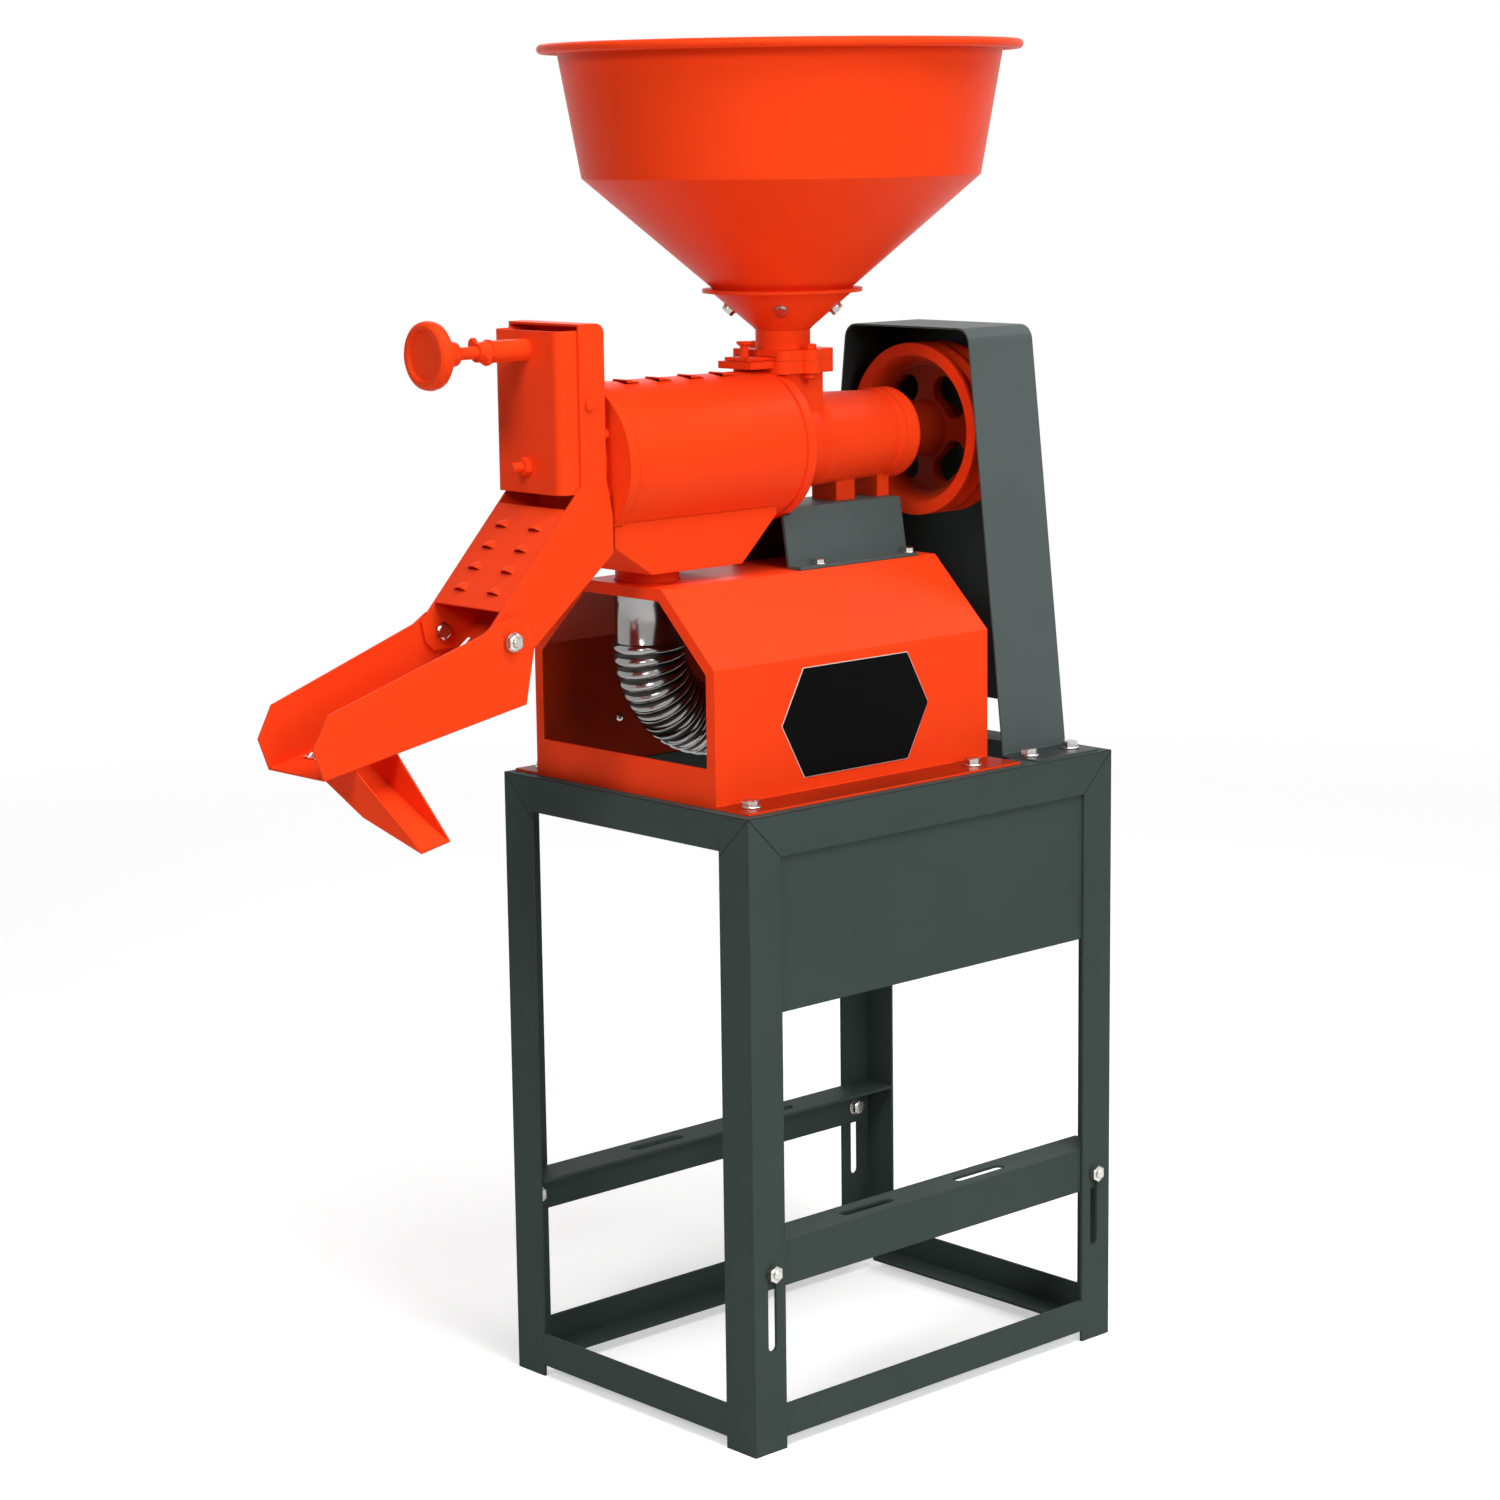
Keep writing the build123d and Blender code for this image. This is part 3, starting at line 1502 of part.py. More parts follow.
def wing_nut():
    right = cover_face - boss_length - lock_washer_thick
    left = right - wing_nut_length
    solid = turned_x([(left, 0), (left, 7.5), (right, 9.0), (right, 0)], centre, screw_z)
    for side in (-1, 1):
        wing = [
            (side * 4.0, -3.5),
            (side * 8.0, -4.5),
            (side * 12.5, -3.5),
            (side * 14.5, 0.5),
            (side * 13.0, 4.5),
            (side * 8.0, 4.0),
            (side * 4.0, 3.5),
        ]
        start = (left + right - wing_thick) / 2 - wing_lead
        placed = Pos(0, centre, screw_z) * Rot(wing_turn, 0, 0)
        solid += placed * prism_yz(wing, start, start + wing_thick)
    return solid - rod_x(screw_radius + running_play, left, right, centre, screw_z)


def trough_frame():
    return Pos(pivot_x, centre, pivot_z) * Rot(0, -trough_slope, 0)


def trough():
    t = trough_sheet
    near = trough_near
    far = near - trough_length
    floor = -trough_depth
    end = floor + trough_end_height
    side = [
        (near, floor),
        (far, floor),
        (far - 4.5, floor + trough_end_height * 0.55),
        (far + 14.0, end),
        (-24.0, 13.0),
        (-10.0, 18.0),
        (8.0, 18.0),
        (20.0, 8.0),
        (22.0, -8.0),
    ]
    solid = None
    for sy in (-1, 1):
        flat = prism_xz(side, 0, t) if sy > 0 else prism_xz(side, -t, 0)
        wall = Pos(0, sy * (trough_half - t), 0) * Rot(0, 0, sy * trough_taper) * flat
        solid = wall if solid is None else solid + wall
    taper = tan(radians(trough_taper))
    wide = trough_half - t / 2 + near * taper
    narrow = trough_half - t / 2 + far * taper
    solid += prism_xy([(near, -wide), (near, wide), (far, narrow), (far, -narrow)], floor, floor + t)
    solid -= block(-mesh_near - mesh_length, -mesh_near, -mesh_half, mesh_half, floor - 1, floor + t + 1)
    placed = trough_frame() * solid
    reach = trough_half + 10.0
    return placed - rod_y(
        pivot_bolt_size / 2 + running_play, centre - reach, centre + reach, pivot_x, pivot_z
    )


def trough_bolts():
    group = []
    size = pivot_bolt_size
    inner = chute_half - chute_sheet
    outer = trough_half + trough_bolt_gap
    for sy in (-1, 1):
        solid = rod_y(size / 2, inner, outer, 0, 0)
        solid += rod_y(size * 0.95, outer, outer + trough_washer, 0, 0)
        solid += Pos(0, outer + trough_washer, 0) * Rot(-90, 0, 0) * hexagon(size * 1.6, size * 0.7)
        solid += Pos(0, inner, 0) * Rot(90, 0, 0) * hexagon(size * 1.6, size * 0.5)
        if sy < 0:
            solid = mirror(solid, Plane.XZ)
        group.append(Pos(pivot_x, centre, pivot_z) * solid)
    return Compound(children=group)


def trough_mesh():
    z0 = -trough_depth + trough_sheet
    z1 = z0 + mesh_wire
    x0 = -mesh_near - mesh_length - mesh_lap
    x1 = -mesh_near + mesh_lap
    half = mesh_half + mesh_lap
    edge = mesh_border
    solid = block(x0, x1, -half, half, z0, z1)
    solid -= block(x0 + edge, x1 - edge, -half + edge, half - edge, z0, z1)
    bars = []
    across = int((x1 - x0) / mesh_pitch)
    for i in range(1, across):
        x = x0 + (x1 - x0) * i / across
        bars.append(block(x - mesh_wire / 2, x + mesh_wire / 2, -half + edge / 2, half - edge / 2, z0, z1))
    along = int(2 * half / mesh_pitch)
    for i in range(1, along):
        y = -half + 2 * half * i / along
        bars.append(block(x0 + edge / 2, x1 - edge / 2, y - mesh_wire / 2, y + mesh_wire / 2, z0, z1))
    return trough_frame() * solid.fuse(*bars)


def side_chute():
    t = trough_sheet
    roof = -trough_depth
    right = -mesh_near - side_chute_gap
    left = right - side_chute_width
    back = mesh_half + side_chute_lap
    front = -mesh_half - side_chute_lap
    tip_y = -side_chute_reach
    low = roof - side_chute_drop
    tip_left = right - side_chute_tip
    plan = [(left, back), (right, back), (right, tip_y), (tip_left, tip_y), (left, front)]
    inside = [
        (left + t, back - t),
        (right - t, back - t),
        (right - t, tip_y - side_chute_over),
        (tip_left + t - side_chute_over, tip_y - side_chute_over),
        (left + t, front + t * 0.4),
    ]
    slope = (roof - low) / (back - tip_y)
    lift = t * hypot(1.0, slope)
    wall = low + side_chute_wall
    shape = [(back, roof), (front, roof), (tip_y, wall), (tip_y, low), (back, roof - running_play)]
    over = side_chute_over
    past = tip_y - 2 * over
    room = [
        (back + over, roof + over),
        (front, roof + over),
        (past, low + 3 * over),
        (past, low + lift - 2 * over * slope),
        (back + over, roof + lift + over * slope),
    ]
    body = prism_xy(plan, low - over, roof) & prism_yz(shape, left, right)
    hollow = prism_xy(inside, low - 4 * over, roof + 2 * over) & prism_yz(room, left, right)
    return trough_frame() * (body - hollow)


makers = {
    "leg_front_left": lambda: leg(-1, -1),
    "leg_front_right": lambda: leg(1, -1),
    "leg_back_left": lambda: leg(-1, 1),
    "leg_back_right": lambda: leg(1, 1),
    "top_rail_front": lambda: long_top_rail(-1),
    "top_rail_back": lambda: long_top_rail(1),
    "top_rail_left": lambda: side_top_rail(-1),
    "top_rail_right": lambda: side_top_rail(1),
    "bottom_rail_front": lambda: long_bottom_rail(-1),
    "bottom_rail_back": lambda: long_bottom_rail(1),
    "bottom_rail_left": lambda: side_bottom_rail(-1),
    "bottom_rail_right": lambda: side_bottom_rail(1),
    "skirt_panel": skirt_panel,
    "motor_rail_front": lambda: motor_rail(-1),
    "motor_rail_back": lambda: motor_rail(1),
    "rail_bolts_front": lambda: rail_bolts(-1),
    "rail_bolts_back": lambda: rail_bolts(1),
    "base_hood": base_hood,
    "deck_bolts": deck_bolts,
    "saddle_bracket": saddle_bracket,
    "saddle_bolts": saddle_bolts,
    "belt_guard": belt_guard,
    "feed_casting": feed_casting,
    "bearing_outer_rings": bearing_outer_rings,
    "bearing_inner_rings": bearing_inner_rings,
    "bearing_cover": bearing_cover,
    "main_shaft": main_shaft,
    "milling_roller": milling_roller,
    "roller_nut": roller_nut,
    "pulley": pulley,
    "pulley_key": key_box,
    "pulley_nut": pulley_nut,
    "rice_screen": rice_screen,
    "drum_cover": drum_cover,
    "bran_hopper": bran_hopper,
    "outlet_flange": outlet_flange,
    "flange_studs": flange_studs,
    "bran_hose": bran_hose,
    "feed_hopper": feed_hopper,
    "hopper_seat": hopper_seat,
    "hopper_bolts": hopper_bolts,
    "feed_gate": feed_gate,
    "gate_knob": gate_knob,
    "feed_flange_bolts": feed_flange_bolts,
    "outlet_chute": outlet_chute,
    "outlet_cover": outlet_cover,
    "cover_bolt": cover_bolt,
    "louvre_plate": louvre_plate,
    "outlet_flap": outlet_flap,
    "flap_pin": flap_pin,
    "flap_spring": flap_spring,
    "adjusting_screw": adjusting_screw,
    "hand_knob": hand_knob,
    "screw_pad": screw_pad,
    "wing_nut": wing_nut,
    "lock_washer": lock_washer,
    "trough": trough,
    "trough_bolts": trough_bolts,
    "trough_mesh": trough_mesh,
    "side_chute": side_chute,
}

for name, make in makers.items():
    shape = make()
    shape.label = name
    export_step(shape, "parts/" + name + ".step")
    print(name, len(shape.solids()))
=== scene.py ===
import json
import math

import bmesh
import bpy
from mathutils import Matrix, Vector


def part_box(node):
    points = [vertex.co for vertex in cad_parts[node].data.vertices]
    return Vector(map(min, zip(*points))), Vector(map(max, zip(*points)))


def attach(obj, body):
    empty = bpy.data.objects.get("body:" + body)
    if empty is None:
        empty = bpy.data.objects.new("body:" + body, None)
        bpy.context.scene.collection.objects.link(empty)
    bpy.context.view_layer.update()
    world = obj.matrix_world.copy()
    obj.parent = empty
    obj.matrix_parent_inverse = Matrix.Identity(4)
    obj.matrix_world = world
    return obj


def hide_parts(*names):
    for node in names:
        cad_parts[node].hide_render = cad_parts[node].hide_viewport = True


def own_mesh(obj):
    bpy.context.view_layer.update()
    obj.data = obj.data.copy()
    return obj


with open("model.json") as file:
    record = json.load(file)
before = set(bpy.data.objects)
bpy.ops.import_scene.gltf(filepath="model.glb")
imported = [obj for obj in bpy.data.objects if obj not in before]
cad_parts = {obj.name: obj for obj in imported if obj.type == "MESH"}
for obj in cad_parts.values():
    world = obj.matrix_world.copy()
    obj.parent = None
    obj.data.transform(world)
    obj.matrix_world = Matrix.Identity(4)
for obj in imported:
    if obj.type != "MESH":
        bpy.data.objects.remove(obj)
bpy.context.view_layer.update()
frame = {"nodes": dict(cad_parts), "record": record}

scene = bpy.context.scene
scene.view_settings.view_transform = "Standard"
print("frame loaded,", len(frame["nodes"]), "nodes")

# Camera: the photo's viewpoint, for a square picture
photoCamera = {
    "place": (-2.0465, -2.1425, 1.0727),
    "yaw": 0.7448,  # radians from +Y towards +X
    "pitch": 0.178,  # radians down
    "roll": -0.0128,
    "focalPixels": 3505.5,
    "picturePixels": 1500.0,
    "sensor": 36.0,
    "reach": 50.0,
}


def addCamera(c):
    data = bpy.data.cameras.new("photo_camera")
    data.sensor_width = c["sensor"]
    data.sensor_fit = "HORIZONTAL"
    data.lens = c["focalPixels"] / c["picturePixels"] * c["sensor"]
    data.clip_end = c["reach"]
    cam = bpy.data.objects.new("photo_camera", data)
    scene.collection.objects.link(cam)
    sy, cy = math.sin(c["yaw"]), math.cos(c["yaw"])
    sp, cp = math.sin(c["pitch"]), math.cos(c["pitch"])
    ahead = Vector((sy * cp, cy * cp, -sp))
    right = Vector((cy, -sy, 0.0))
    up = right.cross(ahead)
    sr, cr = math.sin(c["roll"]), math.cos(c["roll"])
    tiltedRight = right * cr + up * sr
    tiltedUp = up * cr - right * sr
    turn = Matrix((tiltedRight, tiltedUp, -ahead)).transposed()
    cam.matrix_world = Matrix.Translation(c["place"]) @ turn.to_4x4()
    scene.camera = cam


addCamera(photoCamera)
print("camera set")


# Node helpers
def newMaterial(name):
    paint = bpy.data.materials.new(name)
    paint.use_nodes = True
    return paint, paint.node_tree, paint.node_tree.nodes["Principled BSDF"]


def objectPlace(tree):
    return tree.nodes.new("ShaderNodeTexCoord").outputs["Object"]


def feed(tree, sockets, values):
    # a constant goes on the socket itself, another node's output is linked to it
    for socket, value in zip(sockets, values):
        if isinstance(value, bpy.types.NodeSocket):
            tree.links.new(value, socket)
        else:
            socket.default_value = value


def mathNode(tree, operation, *values):
    node = tree.nodes.new("ShaderNodeMath")
    node.operation = operation
    feed(tree, node.inputs, values)
    return node.outputs[0]


def vectorNode(tree, operation, *values):
    node = tree.nodes.new("ShaderNodeVectorMath")
    node.operation = operation
    feed(tree, node.inputs, values)
    return node.outputs["Value" if operation in ("LENGTH", "DOT_PRODUCT") else "Vector"]


def mapped(tree, value, fromEnds=(0.0, 1.0), toEnds=(0.0, 1.0)):
    node = tree.nodes.new("ShaderNodeMapRange")
    for name, end in zip(("From Min", "From Max", "To Min", "To Max"), fromEnds + toEnds):
        node.inputs[name].default_value = end
    tree.links.new(value, node.inputs["Value"])
    return node.outputs["Result"]


def scaled(tree, colour, factor):
    node = tree.nodes.new("ShaderNodeVectorMath")
    node.operation = "SCALE"
    feed(tree, (node.inputs[0], node.inputs["Scale"]), (colour, factor))
    return node.outputs["Vector"]


def mixShaders(tree, share, first, second):
    node = tree.nodes.new("ShaderNodeMixShader")
    feed(tree, node.inputs, (share, first, second))
    return node.outputs[0]


# Light and backdrop
studio = {
    "worldStrength": 0.1,
    "floorSize": 9.0,
    "floorColour": (0.92, 0.92, 0.92, 1.0),
    "floorRough": 0.9,
    "floorFade": (1.2, 3.2),  # metres from the part where the floor turns into plain white
    "floorGlow": 0.5,
    "lamps": (
        # name, place, aim, size, watts
        ("top", (-0.3, -1.3, 3.2), (-0.05, 0.0, 0.7), 2.2, 70.0),
        ("front", (-0.5, -3.4, 1.8), (0.0, 0.0, 0.75), 1.5, 50.0),
        ("left", (-2.8, -1.0, 2.2), (-0.1, 0.0, 1.0), 0.8, 31.0),
        ("right", (2.1, -0.9, 2.8), (0.0, 0.0, 0.7), 1.0, 14.0),
        ("back", (1.6, 2.6, 2.4), (0.0, 0.0, 0.9), 1.6, 10.0),
    ),
}


def addLamp(name, place, aim, size, watts):
    data = bpy.data.lights.new(name, "AREA")
    data.shape = "DISK"
    data.size = size
    data.energy = watts
    lamp = bpy.data.objects.new(name, data)
    scene.collection.objects.link(lamp)
    lamp.location = place
    lamp.rotation_euler = (Vector(aim) - Vector(place)).to_track_quat("-Z", "Y").to_euler()


def seenDirectly(tree):
    # 1 for rays that show the backdrop itself, also in metal and glass
    path = tree.nodes.new("ShaderNodeLightPath").outputs
    direct = mathNode(tree, "MAXIMUM", path["Is Camera Ray"], path["Is Glossy Ray"])
    return mathNode(tree, "MAXIMUM", direct, path["Is Transmission Ray"])


def addWorld(s):
    world = bpy.data.worlds.new("studio")
    scene.world = world
    world.use_nodes = True
    tree = world.node_tree
    lit = tree.nodes["Background"]
    lit.inputs["Strength"].default_value = s["worldStrength"]
    lit.inputs["Color"].default_value = (1, 1, 1, 1)
    white = tree.nodes.new("ShaderNodeBackground")
    white.inputs["Color"].default_value = (1, 1, 1, 1)
    mix = mixShaders(tree, seenDirectly(tree), lit.outputs[0], white.outputs[0])
    tree.links.new(mix, tree.nodes["World Output"].inputs["Surface"])


def floorPaint(s):
    # keeps the shadow, is white beside it and fades out into the backdrop
    paint, tree, surface = newMaterial("floor_white")
    surface.inputs["Base Color"].default_value = s["floorColour"]
    surface.inputs["Roughness"].default_value = s["floorRough"]
    surface.inputs["Specular IOR Level"].default_value = 0.0
    glow = tree.nodes.new("ShaderNodeEmission")
    strength = mathNode(tree, "MULTIPLY", seenDirectly(tree), s["floorGlow"])
    tree.links.new(strength, glow.inputs["Strength"])
    lit = tree.nodes.new("ShaderNodeAddShader")
    feed(tree, lit.inputs, (surface.outputs[0], glow.outputs[0]))
    clear = tree.nodes.new("ShaderNodeBsdfTransparent")
    fade = mapped(tree, vectorNode(tree, "LENGTH", objectPlace(tree)), s["floorFade"])
    mix = mixShaders(tree, fade, lit.outputs[0], clear.outputs[0])
    tree.links.new(mix, tree.nodes["Material Output"].inputs["Surface"])
    return paint


def addFloor(s):
    half = s["floorSize"] / 2
    corners = [(-half, -half, 0), (half, -half, 0), (half, half, 0), (-half, half, 0)]
    mesh = bpy.data.meshes.new("floor")
    mesh.from_pydata(corners, [], [(0, 1, 2, 3)])
    mesh.materials.append(floorPaint(s))
    floor = bpy.data.objects.new("floor", mesh)
    scene.collection.objects.link(floor)


addWorld(studio)
for lampRow in studio["lamps"]:
    addLamp(*lampRow)
addFloor(studio)
print("studio set")

# Materials
noiseRough = 0.6
edgeSamples = 4


def noise(tree, scale, detail):
    node = tree.nodes.new("ShaderNodeTexNoise")
    node.inputs["Scale"].default_value = scale
    node.inputs["Detail"].default_value = detail
    node.inputs["Roughness"].default_value = noiseRough
    tree.links.new(objectPlace(tree), node.inputs["Vector"])
    return node.outputs["Fac"]


def mottled(tree, share, ends, colour, amount):
    # the colour, a little darker where the share is low and brighter where it is high
    node = tree.nodes.new("ShaderNodeValToRGB")
    for stop, at, factor in zip(node.color_ramp.elements, ends, (1 - amount, 1 + amount)):
        stop.position = at
        stop.color = tuple(c * factor for c in colour) + (1.0,)
    tree.links.new(share, node.inputs["Fac"])
    return node.outputs["Color"]


def bump(tree, height, depth, strength, edge=0.0):
    node = tree.nodes.new("ShaderNodeBump")
    node.inputs["Distance"].default_value = depth
    node.inputs["Strength"].default_value = strength
    tree.links.new(height, node.inputs["Height"])
    if edge:
        rounded = tree.nodes.new("ShaderNodeBevel")  # folded edges catch a line of light
        rounded.samples = edgeSamples
        rounded.inputs["Radius"].default_value = edge
        tree.links.new(rounded.outputs["Normal"], node.inputs["Normal"])
    return node.outputs["Normal"]


def insideMask(tree, middle):
    # 1 on faces that look towards the middle, such as the inner walls of a hood
    away = vectorNode(tree, "SUBTRACT", objectPlace(tree), middle)
    face = tree.nodes.new("ShaderNodeNewGeometry").outputs["True Normal"]
    return mathNode(tree, "LESS_THAN", vectorNode(tree, "DOT_PRODUCT", away, face), 0.0)


def mitreMask(tree, m):
    # 1 along the slanting joints between the legs and the top rails
    split = tree.nodes.new("ShaderNodeSeparateXYZ")
    tree.links.new(objectPlace(tree), split.inputs[0])
    drop = mathNode(tree, "SUBTRACT", m["height"], split.outputs["Z"])
    gaps = []
    for axis, half in (("X", m["halfLength"]), ("Y", m["halfDepth"])):
        inset = mathNode(tree, "SUBTRACT", half, mathNode(tree, "ABSOLUTE", split.outputs[axis]))
        gaps.append(mathNode(tree, "ABSOLUTE", mathNode(tree, "SUBTRACT", inset, drop)))
    joint = mathNode(tree, "LESS_THAN", mathNode(tree, "MINIMUM", *gaps), m["halfWidth"])
    nearTop = mathNode(tree, "LESS_THAN", drop, m["legWidth"])
    return mathNode(tree, "MULTIPLY", joint, nearTop)


def webShade(tree, w):
    # painted shade: darker towards the hub of a wheel that turns about X
    away = vectorNode(tree, "SUBTRACT", objectPlace(tree), w["hub"])
    radius = vectorNode(tree, "LENGTH", vectorNode(tree, "MULTIPLY", away, (0, 1, 1)))
    return mapped(tree, radius, w["radii"], (w["shade"], 1.0))


# Sprayed paint: what all its colours share, then each colour
spray = {
    "blotchDetail": 3.0,
    "blotchEnds": (0.3, 0.7),
    "wearShare": 0.12,  # scale of the roughness changes, as a share of the peel's
    "wearDetail": 4.0,
    "peelDetail": 2.0,
    "peelStrength": 0.35,
}
orangeLook = {
    "colour": (0.88, 0.053, 0.0085),
    "blotch": 0.035,
    "blotchScale": 9.0,
    "peelScale": 420.0,
    "peelDepth": 0.00025,
    "rough": (0.34, 0.46),
    "specular": 0.09,
    "tint": (1.0, 0.55, 0.3),
    "edge": 0.0016,
}
guardLook = {
    "colour": (0.062, 0.079, 0.076),
    "blotch": 0.06,
    "blotchScale": 7.0,
    "peelScale": 380.0,
    "peelDepth": 0.0003,
    "rough": (0.42, 0.55),
    "specular": 0.25,
    "tint": (0.9, 1.0, 1.0),
    "edge": 0.0018,
}
standLook = {
    "colour": (0.038, 0.054, 0.049),
    "blotch": 0.06,
    "blotchScale": 7.0,
    "peelScale": 380.0,
    "peelDepth": 0.0003,
    "rough": (0.55, 0.68),
    "specular": 0.1,
    "tint": (0.9, 1.0, 0.97),
    "edge": 0.0018,
}
standMitres = {
    "height": 0.53,
    "halfLength": 0.215,
    "halfDepth": 0.1525,
    "legWidth": 0.035,
    "halfWidth": 0.0006,
    "shade": 0.3,
}
pulleyWeb = {
    "hub": (0.0, 0.008, 0.805),
    "radii": (0.054, 0.066),
    "shade": 0.22,  # painted shade in the deep side of the wheel
}
hollows = {
    # points inside the hollow pieces, and how much of the colour their inner walls keep under
    # the painted shade
    "base_hood": {"middle": (-0.05, 0.008, 0.6), "inside": 0.3},
    "belt_guard": {"middle": (0.15, 0.008, 0.8), "inside": 0.3},
}


def sprayedPaint(name, p, hollow=None, mitre=None, web=None):
    paint, tree, surface = newMaterial(name)
    blotch = noise(tree, p["blotchScale"], spray["blotchDetail"])
    colour = mottled(tree, blotch, spray["blotchEnds"], p["colour"], p["blotch"])
    if hollow:  # painted shade: the inner walls are darkened
        inner = insideMask(tree, hollow["middle"])
        colour = scaled(tree, colour, mapped(tree, inner, toEnds=(1.0, hollow["inside"])))
    if mitre:
        joint = mitreMask(tree, mitre)
        colour = scaled(tree, colour, mapped(tree, joint, toEnds=(1.0, mitre["shade"])))
    # painted shade towards the wheel's hub
    if web:
        colour = scaled(tree, colour, webShade(tree, web))
    tree.links.new(colour, surface.inputs["Base Color"])
    wear = noise(tree, p["peelScale"] * spray["wearShare"], spray["wearDetail"])
    tree.links.new(mapped(tree, wear, toEnds=p["rough"]), surface.inputs["Roughness"])
    peel = noise(tree, p["peelScale"], spray["peelDetail"])
    skin = bump(tree, peel, p["peelDepth"], spray["peelStrength"], p["edge"])
    tree.links.new(skin, surface.inputs["Normal"])
    surface.inputs["Specular IOR Level"].default_value = p["specular"]
    surface.inputs["Specular Tint"].default_value = p["tint"] + (1.0,)
    return paint


# Bare metals: what they share, then each metal
metalGrain = {"detail": 5.0, "ends": (0.25, 0.75), "strength": 0.3}
zincLook = {
    "colour": (0.56, 0.545, 0.51),
    "grain": 0.14,
    "grainScale": 260.0,
    "grainDepth": 0.0002,
    "rough": (0.16, 0.32),
}
brightLook = {
    "colour": (0.70, 0.69, 0.67),
    "grain": 0.06,
    "grainScale": 120.0,
    "grainDepth": 0.00008,
    "rough": (0.1, 0.2),
}
ironLook = {
    "colour": (0.16, 0.15, 0.145),
    "grain": 0.2,
    "grainScale": 160.0,
    "grainDepth": 0.0004,
    "rough": (0.4, 0.65),
}
hoseSteelLook = {
    "colour": (0.27, 0.265, 0.26),
    "grain": 0.05,
    "grainScale": 90.0,
    "grainDepth": 0.00005,
    "rough": (0.14, 0.22),
}
# near-black steel: painted shade low in the hose's grooves
hoseGrooveShadeLook = {
    "colour": (0.035, 0.034, 0.033),
    "grain": 0.1,
    "grainScale": 90.0,
    "grainDepth": 0.00005,
    "rough": (0.35, 0.5),
}


def metal(name, m):
    paint, tree, surface = newMaterial(name)
    grain = noise(tree, m["grainScale"], metalGrain["detail"])
    colour = mottled(tree, grain, metalGrain["ends"], m["colour"], m["grain"])
    tree.links.new(colour, surface.inputs["Base Color"])
    surface.inputs["Metallic"].default_value = 1.0
    tree.links.new(mapped(tree, grain, toEnds=m["rough"]), surface.inputs["Roughness"])
    skin = bump(tree, grain, m["grainDepth"], metalGrain["strength"])
    tree.links.new(skin, surface.inputs["Normal"])
    return paint


# Plain enamel of the front plate
enamel = {"specular": 0.03, "speckScale": 300.0, "speckDetail": 3.0, "roughSpread": 0.15}


def plainEnamel(name, colour, rough):
    paint, tree, surface = newMaterial(name)
    surface.inputs["Base Color"].default_value = colour + (1.0,)
    surface.inputs["Specular IOR Level"].default_value = enamel["specular"]
    speck = noise(tree, enamel["speckScale"], enamel["speckDetail"])
    ends = (rough * (1 - enamel["roughSpread"]), rough * (1 + enamel["roughSpread"]))
    tree.links.new(mapped(tree, speck, toEnds=ends), surface.inputs["Roughness"])
    return paint


orangePaint = sprayedPaint("orange_paint", orangeLook)
guardPaint = sprayedPaint("guard_grey", guardLook)
standPaint = sprayedPaint("stand_grey", standLook, mitre=standMitres)
zincSteel = metal("zinc_steel", zincLook)
brightSteel = metal("bright_steel", brightLook)
machinedIron = metal("machined_iron", ironLook)
hoseSteel = metal("hose_steel", hoseSteelLook)
hoseGrooveShade = metal("hose_groove_painted_shade", hoseGrooveShadeLook)
# the hood and guard paints below carry painted shade on their inner walls
hoodPaint = sprayedPaint("hood_orange_painted_shade", orangeLook, hollows["base_hood"])
pulleyPaint = sprayedPaint("pulley_orange_painted_shade", orangeLook, web=pulleyWeb)
hollowGuardPaint = sprayedPaint("guard_grey_painted_shade", guardLook, hollows["belt_guard"])
plateBlack = plainEnamel("plate_black", (0.0022, 0.0022, 0.0025), 0.3)
plateBorder = plainEnamel("plate_border", (0.68, 0.66, 0.64), 0.4)

finishes = {
    # the record's slots
    "stand_paint": standPaint,
    "guard_paint": guardPaint,
    "orange_paint": orangePaint,
    "orange_casting": orangePaint,
    "zinc_steel": zincSteel,
    "bright_steel": brightSteel,
    "roller_iron": machinedIron,
}
ownPaint = {
    # nodes that don't wear their slot's finish as it is
    "base_hood": hoodPaint,
    "belt_guard": hollowGuardPaint,
    "saddle_bracket": guardPaint,
    "pulley": pulleyPaint,
}
nodeSlots = {entry["node"]: entry["material_slot"] for entry in frame["record"]["subparts"]}


def paintNodes():
    for name, node in frame["nodes"].items():
        for place in node.material_slots:
            place.material = ownPaint.get(name, finishes[nodeSlots[name]])


paintNodes()
print("paint on")


# Mesh helpers
def ringInto(bm, place, radius, sides, height=0.0, offset=0.0):
    ring = []
    for i in range(sides):
        a = 2 * math.pi * (i + offset) / sides
        spot = Vector((radius * math.cos(a), radius * math.sin(a), height))
        ring.append(bm.verts.new(place @ spot))
    return ring


def latheInto(bm, place, outline, sides, smooth=True):
    # outline is a list of (radius, height); a radius of 0 closes the end
    rings = []
    for radius, height in outline:
        if radius == 0:
            rings.append([bm.verts.new(place @ Vector((0, 0, height)))])
        else:
            rings.append(ringInto(bm, place, radius, sides, height, offset=0.5))
    for lower, upper in zip(rings, rings[1:]):
        for i in range(sides):
            j = (i + 1) % sides
            if len(lower) == 1:
                face = bm.faces.new((lower[0], upper[j], upper[i]))
            elif len(upper) == 1:
                face = bm.faces.new((lower[i], lower[j], upper[0]))
            else:
                face = bm.faces.new((lower[i], lower[j], upper[j], upper[i]))
            face.smooth = smooth


